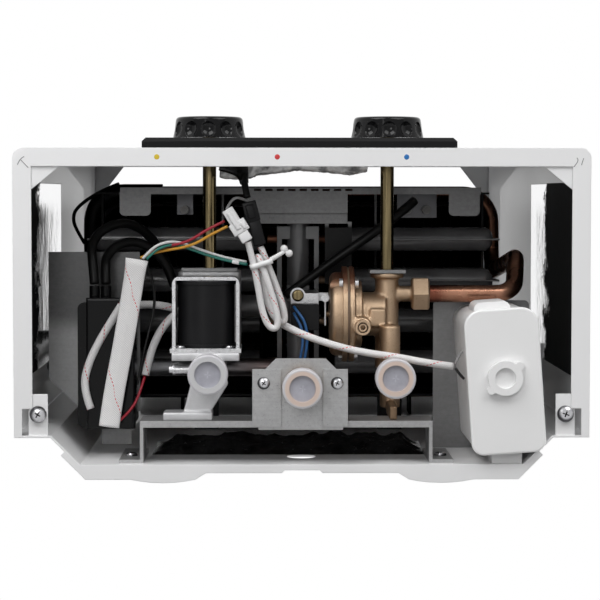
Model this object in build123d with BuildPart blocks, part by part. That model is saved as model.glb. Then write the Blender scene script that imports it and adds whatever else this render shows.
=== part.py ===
"""Tankless gas water heater, wall hung, with an open flue, as an assembly of separate pieces.

Millimetres, +Z up, front towards -Y. The origin lies on the wall plane, on the centre line,
level with the bottom rim of the front cover.
"""

import math
import os

from build123d import *

# Case
case_w = 328.6
case_h = 550.0
case_d = 191.2
sheet = 1.0
cover_rear_y = -26.0
cover_corner_r = 6.0
rim_w = 10.6
rim_rear_w = 4.7
rim_notch_y = -42.6
rim_gusset_x = 16.0
rim_gusset_y = 13.0
top_rim_front_w = 4.0
top_gusset_x = 14.0
top_gusset_y = 18.0
half_w = case_w / 2
front_y = -case_d
cover_inner_y = front_y + sheet

# Back plate
panel_t = 1.2
panel_standoff = 9.5
panel_front_y = -panel_standoff - panel_t
panel_step_y = cover_rear_y - panel_t
panel_slope_gap = 37.7
panel_flat_x = half_w - panel_slope_gap
panel_side_gap = 0.4
panel_drop = 2.0
panel_h = case_h - panel_drop
top_flange_d = 30.0
base_flange_w = 7.5
end_flange_w = 4.2
wall_pad_x = 79.5
wall_pad_half = 18.5
recess_half = 55.0
recess_depth = 3.7
notch_half = 10.0
notch_depth = 1.6
panel_hole_r = 8.5
panel_hole_z = 36.0
rail_w = 190.0
rail_h = 34.0
rail_t = 1.5
hang_drop = 45.0
hang_z = case_h - hang_drop
hang_pitch = 150.0
hang_hole_r = 5.0
tab_w = 11.0
tab_inset = 13.8
tab_x = half_w - tab_inset
tab_front_y = -51.0
tab_t = 1.2
cover_screw_y = -39.6
cover_screw_r = 1.9
cover_screw_head_r = 4.8
cover_screw_head_h = 2.6
screw_clear = 0.2

# Foil shields
shield_t = 0.5
shield_front_gap = 19.2
shield_front_y = front_y + shield_front_gap
shield_rear_y = -56.0
shield_low_z = 20.0
shield_top_z = 260.0

# Control strip, display and knobs
control_z = 60.0
gas_spindle_x = -54.4
water_spindle_x = 51.5
strip_x = -1.07
strip_half = 91.8
strip_h = 60.0
strip_t = 6.6
strip_bevel = 2.2
window_w = 62.0
window_h = 26.0
window_t = 2.0
window_gap = 0.15
module_left = -48.0
module_right = 39.0
module_h = 30.0
module_d = 12.5
rod_r = 4.0
rod_fit = 0.05
rod_end_gap = 0.3
rod_hole_r = 6.0
knob_r = 21.6
knob_h = 12.4
knob_gap = 0.4
knob_taper = 9.2
knob_edge = 2.2
knob_dimples = 12
knob_dimple_r = 6.5
knob_dimple_out = 3.6
knob_dimple_rise = 5.6
knob_wall = 3.0
spindle_plate_t = 2.0
gas_spindle_plate = (16.5, 6.0)
water_spindle_plate = (10.6, 10.0)
spindle_hole_gap = 0.3

# Connections, all with half inch pipe thread
thread_r = 10.48
thread_low_z = -12.0
thread_top_z = 4.0
thread_bore_r = 7.0
thread_groove = 0.6
gas_x = -53.5
gas_y = -63.2
hot_x = 0.0
hot_y = -55.3
cold_x = 52.6
cold_y = -61.0
cap_gap = 0.3
cap_wall = 0.6
cap_floor = 3.0
cap_cover = 7.0
cap_recess_r = 7.6
cap_recess = 1.8
cap_end_gap = 0.3
cap_edge = 1.2
cap_r = thread_r + cap_gap + cap_wall
cap_low_z = thread_low_z - cap_end_gap - cap_floor
cap_top_z = thread_low_z + cap_cover

# Gas valve and solenoid
gas_body_left = -73.0
gas_body_right = -36.0
gas_body_front_y = -119.0
gas_face_y = -73.5
gas_flange_t = 4.5
gas_flange_over = 2.0
gas_body_low_z = 53.0
gas_body_top_z = 92.0
gas_rod_depth = 11.0
gas_body_r = 4.0
feed_seat = 6.0
inlet_r = 9.0
web_low_z = 10.0
web_t = 5.0
web_left = 11.4
web_mid = 10.5
web_foot = 15.2
web_rear = 3.0
web_right = 11.2
web_shoulder = 7.3
inlet_top_z = 86.0
inlet_cap = 8.0
gas_foot_left = 26.5
gas_foot_right = 2.0
gas_foot_t = 4.7
gas_foot_low_z = 8.0
gas_foot_top_z = 26.0
rib_half = 1.6
rib_low_z = 12.0
rib_top_z = 34.0
solenoid_x = -55.5
solenoid_z = 32.0
coil_r = 16.5
coil_flange_r = 17.2
coil_flange_t = 2.0
coil_front_y = -114.6
frame_t = 2.0
frame_half_w = 19.5
frame_low_z = 20.0
frame_top_z = 44.0
frame_front_y = -117.0
frame_corner_r = 4.0
plate_t = 2.5
plate_low_z = 13.0
plate_top_z = 51.0
plunger_r = 5.0
plunger_fit = 0.05
plunger_rear_y = -104.0
plunger_tip_y = -71.0
plunger_hole_gap = 0.5
plunger_room = 4.0
plate_over = 1.0
gas_screw_r = 1.6
gas_screw_head_r = 3.2
gas_screw_head_h = 2.4
gas_screw_in = 0.3
nipple_z = 24.0
nipple_r = 2.9
nipple_len = 14.0
nipple_gap = 0.3
nipple_neck = 3.0
nipple_collar_r = 3.8
nipple_collar_len = 3.0
nipple_bead_r = 3.4
nipple_bead_len = 1.4
nipple_tip_r = 2.3
nipple_tip_len = 3.4

# Fire chamber walls
chamber_x = -3.5
chamber_side_gap = 39.3
chamber_half = half_w - chamber_side_gap
chamber_front_gap = 33.2
chamber_front_y = front_y + chamber_front_gap
chamber_rear_y = -36.0

# Gas manifold and burner
manifold_x = -1.0
manifold_z = 115.0
manifold_r = 7.0
manifold_front_gap = 11.0
manifold_rear_gap = 9.0
manifold_front_y = chamber_front_y + manifold_front_gap
manifold_rear_y = chamber_rear_y - manifold_rear_gap
feed_r = 7.0
feed_wall = 1.0
feed_x = -55.0
feed_y = -95.0
feed_rise = 4.0
feed_bend = 12.0
pipe_gap = 0.15
rail_plate_t = 3.0
rail_plate_x = 13.0
rail_plate_top_z = 158.0
rail_inset = 2.0
rail_drop = 5.0
link_inset = 6.0
link_half = 4.0
switch_boss_x = 7.0
switch_boss_y = 5.0
switch_boss_drop = 3.0
injector_drop = 7.0
injector_r = 2.6
injector_len = 6.0
row_count = 4
row_front_gap = 21.8
row_rear_gap = 21.6
row_front_y = chamber_front_y + row_front_gap
row_pitch = (chamber_rear_y - row_rear_gap - row_front_y) / (row_count - 1)
bar_w = 15.0
bar_low_z = 140.0
bar_top_z = 180.0
bar_seam_t = 1.0
bar_seam_drop = 3.0
bar_out = 2.5
bar_round = 6.0
bar_spike = 3.4
bar_hang = 0.1
bar_rail_h = 6.0
bar_rail_x = 50.0
bar_throat_r = 4.6
frame_rail_t = 1.5
frame_rise = 4.0
bar_wall = 0.8
bar_inner_x = 24.0
injector_gap = 0.5

# Heat exchanger
chamber_t = 1.0
chamber_round = 14.0
chamber_low_z = 190.0
chamber_top_z = 330.0
chamber_ear_x = 80.0
chamber_ear_t = 1.5
chamber_ear_low_z = 272.0
chamber_ear_h = 26.0
fin_h = 70.0
fin_count = 36
fin_t = 0.8
fin_rim = 1.0
fin_tubes = 6
fin_tube_r = 8.0
fin_tube_bore = 7.2
fin_tube_lift = 20.0
fin_tube_rise = 28.0
hood_wall_h = 97.0
hood_h = 33.0
hood_t = 1.0
hood_top_flat = 0.5
collar_r = 55.0
collar_t = 1.0
collar_top_z = 590.0
crossbar_low_z = 93.0
crossbar_gap = 25.2
crossbar_y = front_y + crossbar_gap
crossbar_left_gap = 54.3
crossbar_right_gap = 53.3
crossbar_left = crossbar_left_gap - half_w
crossbar_right = half_w - crossbar_right_gap
crossbar_t = 1.2
crossbar_tab_gap = 63.5
crossbar_tab_x = half_w - crossbar_tab_gap
crossbar_tab_w = 19.0
crossbar_tab_d = 14.4
crossbar_tab_r = 3.0
crossbar_flange = 3.0
crossbar_slots = 9
crossbar_slot_x = 2.0
crossbar_slot_pitch = 7.0
crossbar_slot_w = 4.5
crossbar_slot_d = 1.2
centre_plate_left = -33.0
centre_plate_right = 29.2
centre_plate_d = 12.8
centre_plate_y = crossbar_y + centre_plate_d
centre_strip_left = -26.0
centre_strip_d = 6.4
centre_strip_y = centre_plate_y + centre_strip_d
centre_strip_z = 97.0
baffle_left = 15.4
baffle_right = 32.0
baffle_slot = 2.6
baffle_d = 37.0
baffle_rear_y = centre_strip_y + baffle_d
frame_lug_x = 60.0
frame_lug_half = 8.0
electrode_left = 62.0
electrode_pitch = 12.0
electrode_inset = 6.0
electrode_plate_w = 25.0
electrode_plate_d = 16.0
electrode_plate_t = 1.2
electrode_y_gap = 11.0
electrode_drop = 9.0
electrode_len = 60.0
electrode_r = 2.6
probe_left = -77.0
probe_w = 10.0
probe_d = 14.0

# Copper pipes
cold_r = 5.2
cold_wall = 0.8
hot_r = 5.6
hot_wall = 0.8
hot_run_z = 102.0
hot_run_y = -58.0
hot_drop_gap = 12.3
hot_drop_x = hot_drop_gap - half_w
exchanger_port_z = 365.0
wrap_side_gap = 6.0
wrap_end_gap = 1.8
wrap_z = 236.0
wrap_rise = 7.0
riser_inset = 5.1
riser_forward = 21.0
wrap_join = 53.0
riser_lift = 26.0
exchanger_port_y = -97.0
pipe_end_gap = 0.3
riser_out = 4.0
hot_turn_x = 14.0
hot_turn_z = 16.0
hot_seat_z = 66.0
hot_socket = 8.0
hot_barrel_wall = 3.0
hot_shoulder = 2.5
hot_shoulder_h = 6.0
hot_hole_gap = 0.3
cold_bends = [13.0, 15.0, 16.0, 19.0, 19.0, 17.0, 17.0, 16.0, 10.0]
hot_bends = [13.0, 14.0, 11.0, 11.0]

# Water valve
valve_y = -93.4
valve_z = 60.0
valve_r = 28.5
diaphragm_x = 27.9
diaphragm_t = 1.2
cover_flange_t = 2.6
body_flange_t = 3.2
cavity_r = 20.0
body_cavity_r = 16.0
diaphragm_inset = 0.5
dome_tip_x = 17.1
dome_r = 25.0
dome_wall = 2.5
dome_edge = 4.0
collar_body_r = 20.0
collar_body_x = 36.2
bolt_ring_r = 24.6
bolt_angles = (-140.0, 0.0, 70.0, 140.0)
bolt_r = 1.8
bolt_gap = 0.15
bolt_head_r = 3.0
bolt_head_h = 2.2
bolt_nut_r = 2.8
spindle_r = 7.0
spindle_flange_r = 10.0
spindle_front_y = -118.0
spindle_depth = 11.0
spindle_flange_t = 3.0
neck_r = 13.0
neck_lap = 1.0
valve_web_in = 10.5
valve_web_out = 1.5
valve_web_front = 3.6
valve_web_rear = 7.0
valve_web_drop = 14.0
leg_z = 45.0
leg_r = 6.0
leg_start = 6.0
leg_up = 12.0
leg_end_gap = 4.0
cold_bore_r = 4.2
cold_rib_half = 2.2
cold_rib_d = 8.0
cold_rib_low_z = 10.0
outlet_y = -105.5
outlet_r = 4.7
outlet_collar = 1.6
outlet_bore_r = 3.0
outlet_end_x = 70.6
nut_start_x = 66.2
nut_end_x = 76.6
nut_flats = 18.6
nut_bevel = 0.9
relief_x = 35.5
relief_y = -87.6
relief_r = 4.4
relief_low_z = 20.0
relief_top_z = 31.0
relief_boss = 1.0
relief_wall = 1.3
relief_well = 6.0
relief_post_in = 0.8
relief_post_r = 2.4
relief_bore_r = 1.4
relief_floor = 2.0
flow_rod_r = 2.0
flow_rod_fit = 0.05
flow_rod_gap = 0.1
flow_plate_r = 15.0
flow_plate_t = 1.3

# Flow switch
switch_left = -6.0
switch_right = 10.6
switch_front_y = -100.0
switch_rear_y = -84.5
switch_low_z = 44.0
switch_top_z = 56.0
lever_x = 14.4
lever_t = 0.8
lever_pivot_y = -103.5
lever_end_y = -87.0
lever_low_z = 50.0
lever_top_z = 63.0
lever_hub_r = 1.7
lever_collar_r = 2.4
lever_guard = 2.4
lever_guard_x = 2.2
lever_pin_top = 1.0
switch_button_r = 1.5
switch_button = 1.2
switch_button_in = 1.0
switch_bevel = 0.8
switch_strip_left = 0.6
switch_screw_x = -1.8
switch_screw_y = -104.6
switch_lug_r = 4.6
lever_pin_r = 0.8
lever_fit = 0.05
switch_plate_t = 1.2
switch_plate_gap = 0.3

# Controller
box_left = -132.0
box_right = -98.0
box_front_y = -104.0
box_step = 3.0
box_lid_in = 5.5
box_lid_h = 6.0
box_lid_lap = 4.0
box_rear_y = -26.5
box_low_z = 40.0
box_top_z = 76.0
box_round = 4.0
box_edge = 1.5
gland_r = 3.1
gland_len = 6.5
gland_z = 58.0
gland_x = -119.5
gland_pitch = 6.8
gland_gap = 0.8
ctrl_plate_gap = 12.1
ctrl_plate_left = ctrl_plate_gap - half_w
ctrl_plate_right = -97.0
ctrl_plate_front_y = -130.0
ctrl_plate_rear_y = -33.5
ctrl_plate_t = 1.2
ctrl_cut = 20.0
ctrl_lug_left = -122.0
ctrl_lug_right = -104.0
ctrl_lug_z = 100.0

# Battery box
battery_wall_gap = 49.0
battery_x = half_w - battery_wall_gap
battery_y = -58.7
battery_w = 42.6
battery_l = 83.0
battery_lid_over = 1.2
battery_turn = -4.0
battery_low_z = -3.0
battery_top_z = 78.0
battery_wall = 2.2
battery_front_r = 10.0
battery_rear_r = 7.0
battery_lug_in = 6.4
battery_lug_out = 11.0
battery_lug_left = battery_x - battery_lug_in
battery_lug_right = battery_x + battery_lug_out
battery_lug_low_z = 4.0
battery_lug_top_z = 22.0
battery_lug_lap = 6.0
battery_boss_x = -3.4
battery_boss_w = 21.0
battery_boss_d = 4.6
battery_boss_low_z = 8.0
battery_boss_h = 30.0
battery_boss_r = 4.0
lid_t = 3.0
lid_edge = 1.2
latch_r = 10.0
latch_lean = -37.0
latch_wing_w = 5.0
latch_t = 3.2
latch_gap = 0.3
latch_shaft_r = 3.0
latch_fit = 0.05
latch_bar = 26.0
latch_wing = 13.0
latch_offset_y = -2.0
latch_dish = 4.2
latch_web = 1.2
latch_bar_w = 7.0
latch_bar_t = 3.0
battery_plate_in = 34.6
battery_plate_out = 23.7
battery_plate_left = battery_x - battery_plate_in
battery_plate_right = battery_x + battery_plate_out
battery_plate_cut = 20.0
battery_plate_front_y = -100.6
battery_plate_t = 1.2
battery_flange_h = 20.0
battery_plate_r = 3.0

# Carrier bar for the three connections
bar_left = -93.0
bar_right = 75.0
bar_front_y = -35.0
carrier_t = 2.0
carrier_low_z = 6.0
carrier_h = 28.0
carrier_lip = 3.8
foot_w = 12.0
foot_h = 54.0
foot_screw_z = 19.0
hot_plate_t = 1.5
hot_plate_left = -25.0
hot_plate_right = 23.5
hot_wing_t = 1.2
hot_wing_in = 12.0
hot_wing_left = -28.5
hot_wing_right = 26.2
hot_wing_front_y = -65.0
hot_wing_rear_y = -32.0
hot_plate_front_y = -71.0
hot_plate_rear_y = -30.0
hot_plate_taper = 10.0
hot_screw_mid = -1.0
hot_screw_x = 21.0
hot_screw_y = -57.0
small_screw_r = 1.7
small_screw_head_r = 3.6
small_screw_head_h = 2.2
screw_dome = 1.2

# Harness
thin_sleeve_r = 2.3
flat_sleeve_w = 12.0
flat_sleeve_t = 4.0
flat_sleeve_edge = 1.9
main_sleeve_r = 2.05
hank_r = 1.7
hank_low_z = 20.0
hank_layer = 7.0
hank_tie_x = -23.4
hank_tie_y = -124.5
hank_lean = -17.0
hank_tie_half_w = 6.2
lead_r = 2.9
diagonal_r = 2.8
display_lead_r = 2.0
display_lead_gap = 1.3
wire_r = 0.8
tie_t = 1.2
tie_w = 3.0
tie_gap = 0.35
tie_knob_r = 2.2
plug_gap = 0.5
plug_h = 7.6

os.makedirs("parts", exist_ok=True)


def block(low, high, mode=Mode.ADD):
    """A box between two corners, in the part being built."""
    size = [b - a for a, b in zip(low, high)]
    centre = [(a + b) / 2 for a, b in zip(low, high)]
    with Locations(tuple(centre)):
        Box(*size, mode=mode)


def bar(start, direction, radius, length, mode=Mode.ADD):
    """A round bar from a point along a direction, in the part being built."""
    with Locations(Plane(origin=start, z_dir=direction)):
        Cylinder(radius, length, align=(Align.CENTER, Align.CENTER, Align.MIN), mode=mode)


def tube(points, radii, radius, bore=0.0):
    """A round tube along straight runs joined by tangent arcs, in the part being built."""
    with BuildLine() as route:
        FilletPolyline(*points, radius=radii)
    with BuildSketch(Plane(origin=route.line @ 0, z_dir=route.line % 0)) as section:
        Circle(radius)
        if bore:
            Circle(bore, mode=Mode.SUBTRACT)
    sweep(section.sketch, path=route.wire())


def cord_radii(points):
    """The largest arc that the runs beside each corner of a cord's route leave room for."""
    radii = []
    for before, here, after in zip(points, points[1:], points[2:]):
        run_in = Vector(here) - Vector(before)
        run_out = Vector(after) - Vector(here)
        half_turn = math.radians(run_in.get_angle(run_out)) / 2
        radii.append(0.45 * min(run_in.length, run_out.length) / math.tan(half_turn))
    return radii


def cord(name, points, radius):
    """A cord's tube along its route, with its arc radii printed."""
    radii = cord_radii(points)
    print(name, "arc radii", [round(r, 1) for r in radii])
    tube(points, radii, radius)


def save(piece, name):
    """Label a finished piece and write it."""
    piece.part.label = name
    export_step(piece.part, f"parts/{name}.step")


# Front cover: folded sheet open at the bottom, the rear and the top, with turned-in rims
cover_d = cover_rear_y - front_y
cover_spare = 3 * cover_corner_r
rim_x = half_w - rim_w
rim_y = front_y + rim_w
rear_x = half_w - rim_rear_w
top_y = front_y + top_rim_front_w
plan_y = (front_y + cover_rear_y + cover_spare) / 2
plan_d = cover_d + cover_spare
behind_y = cover_rear_y + 2 * cover_spare
rim_in = rim_w - sheet
gusset_x = rim_gusset_x * (1 + rim_in / rim_gusset_y)
gusset_y = rim_gusset_y * (1 + rim_in / rim_gusset_x)
with BuildPart() as front_cover:
    with BuildSketch():
        with Locations((0, plan_y)):
            RectangleRounded(case_w, plan_d, cover_corner_r)
        with Locations((0, plan_y + sheet)):
            RectangleRounded(case_w - 2 * sheet, plan_d, cover_corner_r - sheet, mode=Mode.SUBTRACT)
    extrude(amount=case_h)
    with BuildSketch():
        with Locations((0, plan_y)):
            RectangleRounded(case_w, plan_d, cover_corner_r)
        with BuildLine():
            Polyline(
                (-rear_x, behind_y),
                (-rear_x, rim_notch_y),
                (-rim_x, rim_notch_y),
                (-rim_x, rim_y),
                (rim_x, rim_y),
                (rim_x, rim_notch_y),
                (rear_x, rim_notch_y),
                (rear_x, behind_y),
                close=True,
            )
        make_face(mode=Mode.SUBTRACT)
    extrude(amount=sheet)
    with BuildSketch(Plane.XY.offset(sheet)):
        for side in (-1, 1):
            with BuildLine():
                Polyline(
                    (side * (half_w - sheet), cover_inner_y + cover_corner_r / 2),
                    (side * (half_w - sheet), rim_y + gusset_y),
                    (side * (rim_x - gusset_x), cover_inner_y),
                    (side * (half_w - sheet - cover_corner_r / 2), cover_inner_y),
                    close=True,
                )
            make_face()
    extrude(amount=sheet)
    with BuildSketch(Plane.XY.offset(case_h - sheet)):
        with Locations((0, plan_y)):
            RectangleRounded(case_w, plan_d, cover_corner_r)
        with BuildLine():
            Polyline(
                (-rim_x, behind_y),
                (-rim_x, top_y + top_gusset_y),
                (-rim_x + top_gusset_x, top_y),
                (rim_x - top_gusset_x, top_y),
                (rim_x, top_y + top_gusset_y),
                (rim_x, behind_y),
                close=True,
            )
        make_face(mode=Mode.SUBTRACT)
    extrude(amount=sheet)
    block((-case_w, cover_rear_y, -case_h), (case_w, behind_y + case_d, 2 * case_h), Mode.SUBTRACT)
    for x in (gas_spindle_x, water_spindle_x):
        bar((x, front_y, control_z), (0, 1, 0), rod_hole_r, sheet, Mode.SUBTRACT)
    display_x = (module_left + module_right) / 2
    block(
        (display_x - window_w / 2, front_y, control_z - window_h / 2),
        (display_x + window_w / 2, cover_inner_y, control_z + window_h / 2),
        Mode.SUBTRACT,
    )
save(front_cover, "front_cover")

# Back plate: folded tray on a stand-off flange, with a hanging rail and two cover tabs
panel_edge_x = half_w - sheet - panel_side_gap
panel_fold_x = panel_flat_x + panel_front_y - panel_step_y
flange_edge_y = panel_front_y + panel_t + base_flange_w
fold_mid_x = (panel_flat_x + panel_fold_x) / 2
fold_mid_y = (panel_front_y + panel_step_y) / 2
flange_end = end_flange_w / math.sqrt(2)
flange_turn_x = fold_mid_x + fold_mid_y + 2 * flange_end - flange_edge_y
with BuildPart() as back_plate:
    with BuildSketch():
        with BuildLine():
            fold = Polyline(
                (-panel_edge_x, panel_step_y),
                (-panel_fold_x, panel_step_y),
                (-panel_flat_x, panel_front_y),
                (panel_flat_x, panel_front_y),
                (panel_fold_x, panel_step_y),
                (panel_edge_x, panel_step_y),
            )
            offset(fold, amount=panel_t, side=Side.LEFT)
        make_face()
    extrude(amount=panel_h)
    block(
        (-panel_flat_x, panel_front_y - top_flange_d, panel_h - panel_t),
        (panel_flat_x, panel_front_y + panel_t, panel_h),
    )
    with BuildSketch():
        with BuildLine():
            pad_in = wall_pad_x - wall_pad_half
            pad_out = wall_pad_x + wall_pad_half
            recess_y = flange_edge_y - recess_depth
            notch_y = recess_y - notch_depth
            Polyline(
                (-fold_mid_x, fold_mid_y),
                (-fold_mid_x - flange_end, fold_mid_y + flange_end),
                (-flange_turn_x, flange_edge_y),
                (-pad_out, flange_edge_y),
            )
            ThreePointArc((-pad_out, flange_edge_y), (-wall_pad_x, 0), (-pad_in, flange_edge_y))
            Polyline(
                (-pad_in, flange_edge_y),
                (-recess_half, recess_y),
                (-notch_half - notch_depth, recess_y),
                (-notch_half, notch_y),
                (notch_half, notch_y),
                (notch_half + notch_depth, recess_y),
                (recess_half, recess_y),
                (pad_in, flange_edge_y),
            )
            ThreePointArc((pad_in, flange_edge_y), (wall_pad_x, 0), (pad_out, flange_edge_y))
            Polyline(
                (pad_out, flange_edge_y),
                (flange_turn_x, flange_edge_y),
                (fold_mid_x + flange_end, fold_mid_y + flange_end),
                (fold_mid_x, fold_mid_y),
                (panel_flat_x, panel_front_y),
                (-panel_flat_x, panel_front_y),
                (-fold_mid_x, fold_mid_y),
            )
        make_face()
    extrude(amount=panel_t)
    bar((0, panel_front_y, panel_hole_z), (0, 1, 0), panel_hole_r, panel_t, Mode.SUBTRACT)
    rail_low = hang_z - rail_h / 2
    rail_high = hang_z + rail_h / 2
    for low in (rail_low, rail_high - rail_t):
        block((-rail_w / 2, panel_front_y + panel_t, low), (rail_w / 2, 0, low + rail_t))
    block((-rail_w / 2, -rail_t, rail_low), (rail_w / 2, 0, rail_high))
    for side in (-1, 1):
        bar((side * hang_pitch / 2, -rail_t, hang_z), (0, 1, 0), hang_hole_r, rail_t, Mode.SUBTRACT)
        block(
            (side * tab_x - tab_w / 2, tab_front_y, sheet),
            (side * tab_x + tab_w / 2, panel_step_y + panel_t, sheet + tab_t),
        )
        bar(
            (side * tab_x, cover_screw_y, sheet),
            (0, 0, 1),
            cover_screw_r + screw_clear,
            tab_t,
            Mode.SUBTRACT,
        )
        low_x, high_x = sorted((side * rear_x, side * half_w))
        block((low_x, panel_step_y, 0), (high_x, cover_rear_y, sheet), Mode.SUBTRACT)
save(back_plate, "back_plate")

# Cover screws: pan heads under the rim's rear corners, shanks up through the tabs
with BuildPart() as cover_screws:
    for side in (-1, 1):
        foot = (side * tab_x, cover_screw_y, -cover_screw_head_h)
        bar(foot, (0, 0, 1), cover_screw_head_r, cover_screw_head_h)
        bar(foot, (0, 0, 1), cover_screw_r, cover_screw_head_h + 4 * tab_t + sheet)
save(cover_screws, "cover_screws")

# Foil heat shields on the inside of the two side walls
with BuildPart() as side_shields:
    for side in (-1, 1):
        wall_x = side * (half_w - sheet)
        face_x = wall_x - side * shield_t
        block(
            (min(wall_x, face_x), shield_front_y, shield_low_z),
            (max(wall_x, face_x), shield_rear_y, shield_top_z),
        )
save(side_shields, "side_shields")

# Control strip on the front, with a pocket for the display window and two rod holes
strip_front_y = front_y - strip_t
with BuildPart() as control_strip:
    block(
        (strip_x - strip_half, strip_front_y, control_z - strip_h / 2),
        (strip_x + strip_half, front_y, control_z + strip_h / 2),
    )
    chamfer(control_strip.faces().sort_by(Axis.Y)[0].edges(), strip_bevel)
    for x in (gas_spindle_x, water_spindle_x):
        bar((x, strip_front_y, control_z), (0, 1, 0), rod_hole_r, strip_t, Mode.SUBTRACT)
    block(
        (display_x - window_w / 2, strip_front_y, control_z - window_h / 2),
        (display_x + window_w / 2, strip_front_y + window_t, control_z + window_h / 2),
        Mode.SUBTRACT,
    )
    view_half = window_w / 2 - window_t
    view_h = window_h / 2 - window_t
    block(
        (display_x - view_half, strip_front_y, control_z - view_h),
        (display_x + view_half, front_y, control_z + view_h),
        Mode.SUBTRACT,
    )
save(control_strip, "control_strip")

# Display window, set flush in the strip
with BuildPart() as display_window:
    pane_half = window_w / 2 - window_gap
    pane_h = window_h / 2 - window_gap
    block(
        (display_x - pane_half, strip_front_y, control_z - pane_h),
        (display_x + pane_half, strip_front_y + window_t, control_z + pane_h),
    )
save(display_window, "display_window")

# Display module, wrapped, against the inside of the cover
with BuildPart() as display_module:
    block(
        (module_left, cover_inner_y, control_z - module_h / 2),
        (module_right, cover_inner_y + module_d, control_z + module_h / 2),
    )
    fillet(display_module.edges().filter_by(Axis.X), module_d / 5)
save(display_module, "display_module")

# Knobs: tapered, with a ring of round dimples, on the front ends of the rods
knob_rear_y = strip_front_y - knob_gap
knob_front_y = knob_rear_y - knob_h
for name, x in (("gas_knob", gas_spindle_x), ("water_knob", water_spindle_x)):
    with BuildPart() as knob:
        with BuildSketch(Plane(origin=(x, knob_rear_y, control_z), z_dir=(0, -1, 0))):
            Circle(knob_r)
        extrude(amount=knob_h, taper=knob_taper)
        fillet(knob.faces().sort_by(Axis.Y)[0].edges(), knob_edge)
        with Locations(Plane(origin=(x, knob_rear_y - knob_dimple_rise, control_z), z_dir=(0, -1, 0))):
            with PolarLocations(knob_r + knob_dimple_out, knob_dimples):
                Sphere(knob_dimple_r, mode=Mode.SUBTRACT)
        bar((x, knob_rear_y, control_z), (0, -1, 0), rod_r + rod_fit, knob_h - knob_wall, Mode.SUBTRACT)
    save(knob, name)

# Rods from the knobs to the two valves
rod_front_y = knob_front_y + knob_wall
gas_rod_end_y = gas_body_front_y + gas_rod_depth - rod_end_gap
water_rod_end_y = spindle_front_y + spindle_depth - rod_end_gap
for name, x, end_y in (
    ("gas_rod", gas_spindle_x, gas_rod_end_y),
    ("water_rod", water_spindle_x, water_rod_end_y),
):
    with BuildPart() as rod:
        bar((x, rod_front_y, control_z), (0, 1, 0), rod_r, end_y - rod_front_y)
    save(rod, name)

# Spindle plates on the front of the two valves
with BuildPart() as spindle_plates:
    for x, face_y, (half, tall) in (
        (gas_spindle_x, gas_body_front_y, gas_spindle_plate),
        (water_spindle_x, spindle_front_y, water_spindle_plate),
    ):
        plate_y = face_y - spindle_plate_t
        block((x - half, plate_y, control_z - tall), (x + half, face_y, control_z + tall))
        bar((x, plate_y, control_z), (0, 1, 0), rod_r + spindle_hole_gap, spindle_plate_t, Mode.SUBTRACT)
save(spindle_plates, "spindle_plates")

# Gas valve body: die-cast block with the spindle bore and a top outlet
feed_seat_z = gas_body_top_z - feed_seat
with BuildPart() as gas_valve_body:
    block(
        (gas_body_left, gas_body_front_y, gas_body_low_z),
        (gas_body_right, gas_face_y, gas_body_top_z),
    )
    fillet(gas_valve_body.edges().filter_by(Axis.Y), gas_body_r)
    spindle = (gas_spindle_x, gas_body_front_y, control_z)
    bar(spindle, (0, 1, 0), rod_r + rod_fit, gas_rod_depth, Mode.SUBTRACT)
    bar((feed_x, feed_y, feed_seat_z), (0, 0, 1), feed_r + pipe_gap, feed_seat, Mode.SUBTRACT)
save(gas_valve_body, "gas_valve_body")


def threaded_end(x, y):
    """A half inch male pipe end pointing down, with a relief groove above the cap."""
    bar((x, y, thread_low_z), (0, 0, 1), thread_r, cap_cover - thread_groove)
    bar((x, y, thread_low_z), (0, 0, 1), thread_r - thread_groove, cap_cover + thread_groove)
    bar(
        (x, y, thread_low_z + cap_cover + thread_groove),
        (0, 0, 1),
        thread_r,
        thread_top_z - thread_low_z - cap_cover - thread_groove,
    )


# Gas inlet: casting with the threaded end, a flange, and a leg to the carrier bar
foot_front_y = bar_front_y - gas_foot_t
with BuildPart() as gas_inlet:
    threaded_end(gas_x, gas_y)
    bar((gas_x, gas_y, thread_top_z), (0, 0, 1), inlet_r, inlet_top_z - thread_top_z)
    block(
        (gas_body_left - gas_flange_over, gas_face_y, plate_low_z - gas_flange_over),
        (gas_body_right, gas_face_y + gas_flange_t, gas_body_top_z),
    )
    block(
        (gas_x - gas_foot_left, foot_front_y, gas_foot_low_z),
        (gas_x + gas_foot_right, bar_front_y, gas_foot_top_z),
    )
    with BuildSketch(Plane.XY.offset(web_low_z)):
        with BuildLine():
            Polyline(
                (gas_x - inlet_r, gas_y),
                (gas_x - web_left, gas_y + web_mid),
                (gas_x - web_foot, bar_front_y - web_rear),
                (gas_x, bar_front_y - web_rear),
                (gas_x + web_right, gas_y + web_shoulder),
                (gas_x + inlet_r, gas_y),
                close=True,
            )
        make_face()
    extrude(amount=web_t)
    block((gas_x - rib_half, gas_y, rib_low_z), (gas_x + rib_half, bar_front_y - web_rear, rib_top_z))
    bore = inlet_top_z - inlet_cap - thread_low_z
    bar((gas_x, gas_y, thread_low_z), (0, 0, 1), thread_bore_r, bore, Mode.SUBTRACT)
    bar(
        (solenoid_x, gas_face_y, solenoid_z),
        (0, 1, 0),
        plunger_r + plunger_hole_gap,
        gas_flange_t + plunger_room,
        Mode.SUBTRACT,
    )
save(gas_inlet, "gas_inlet")

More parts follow.
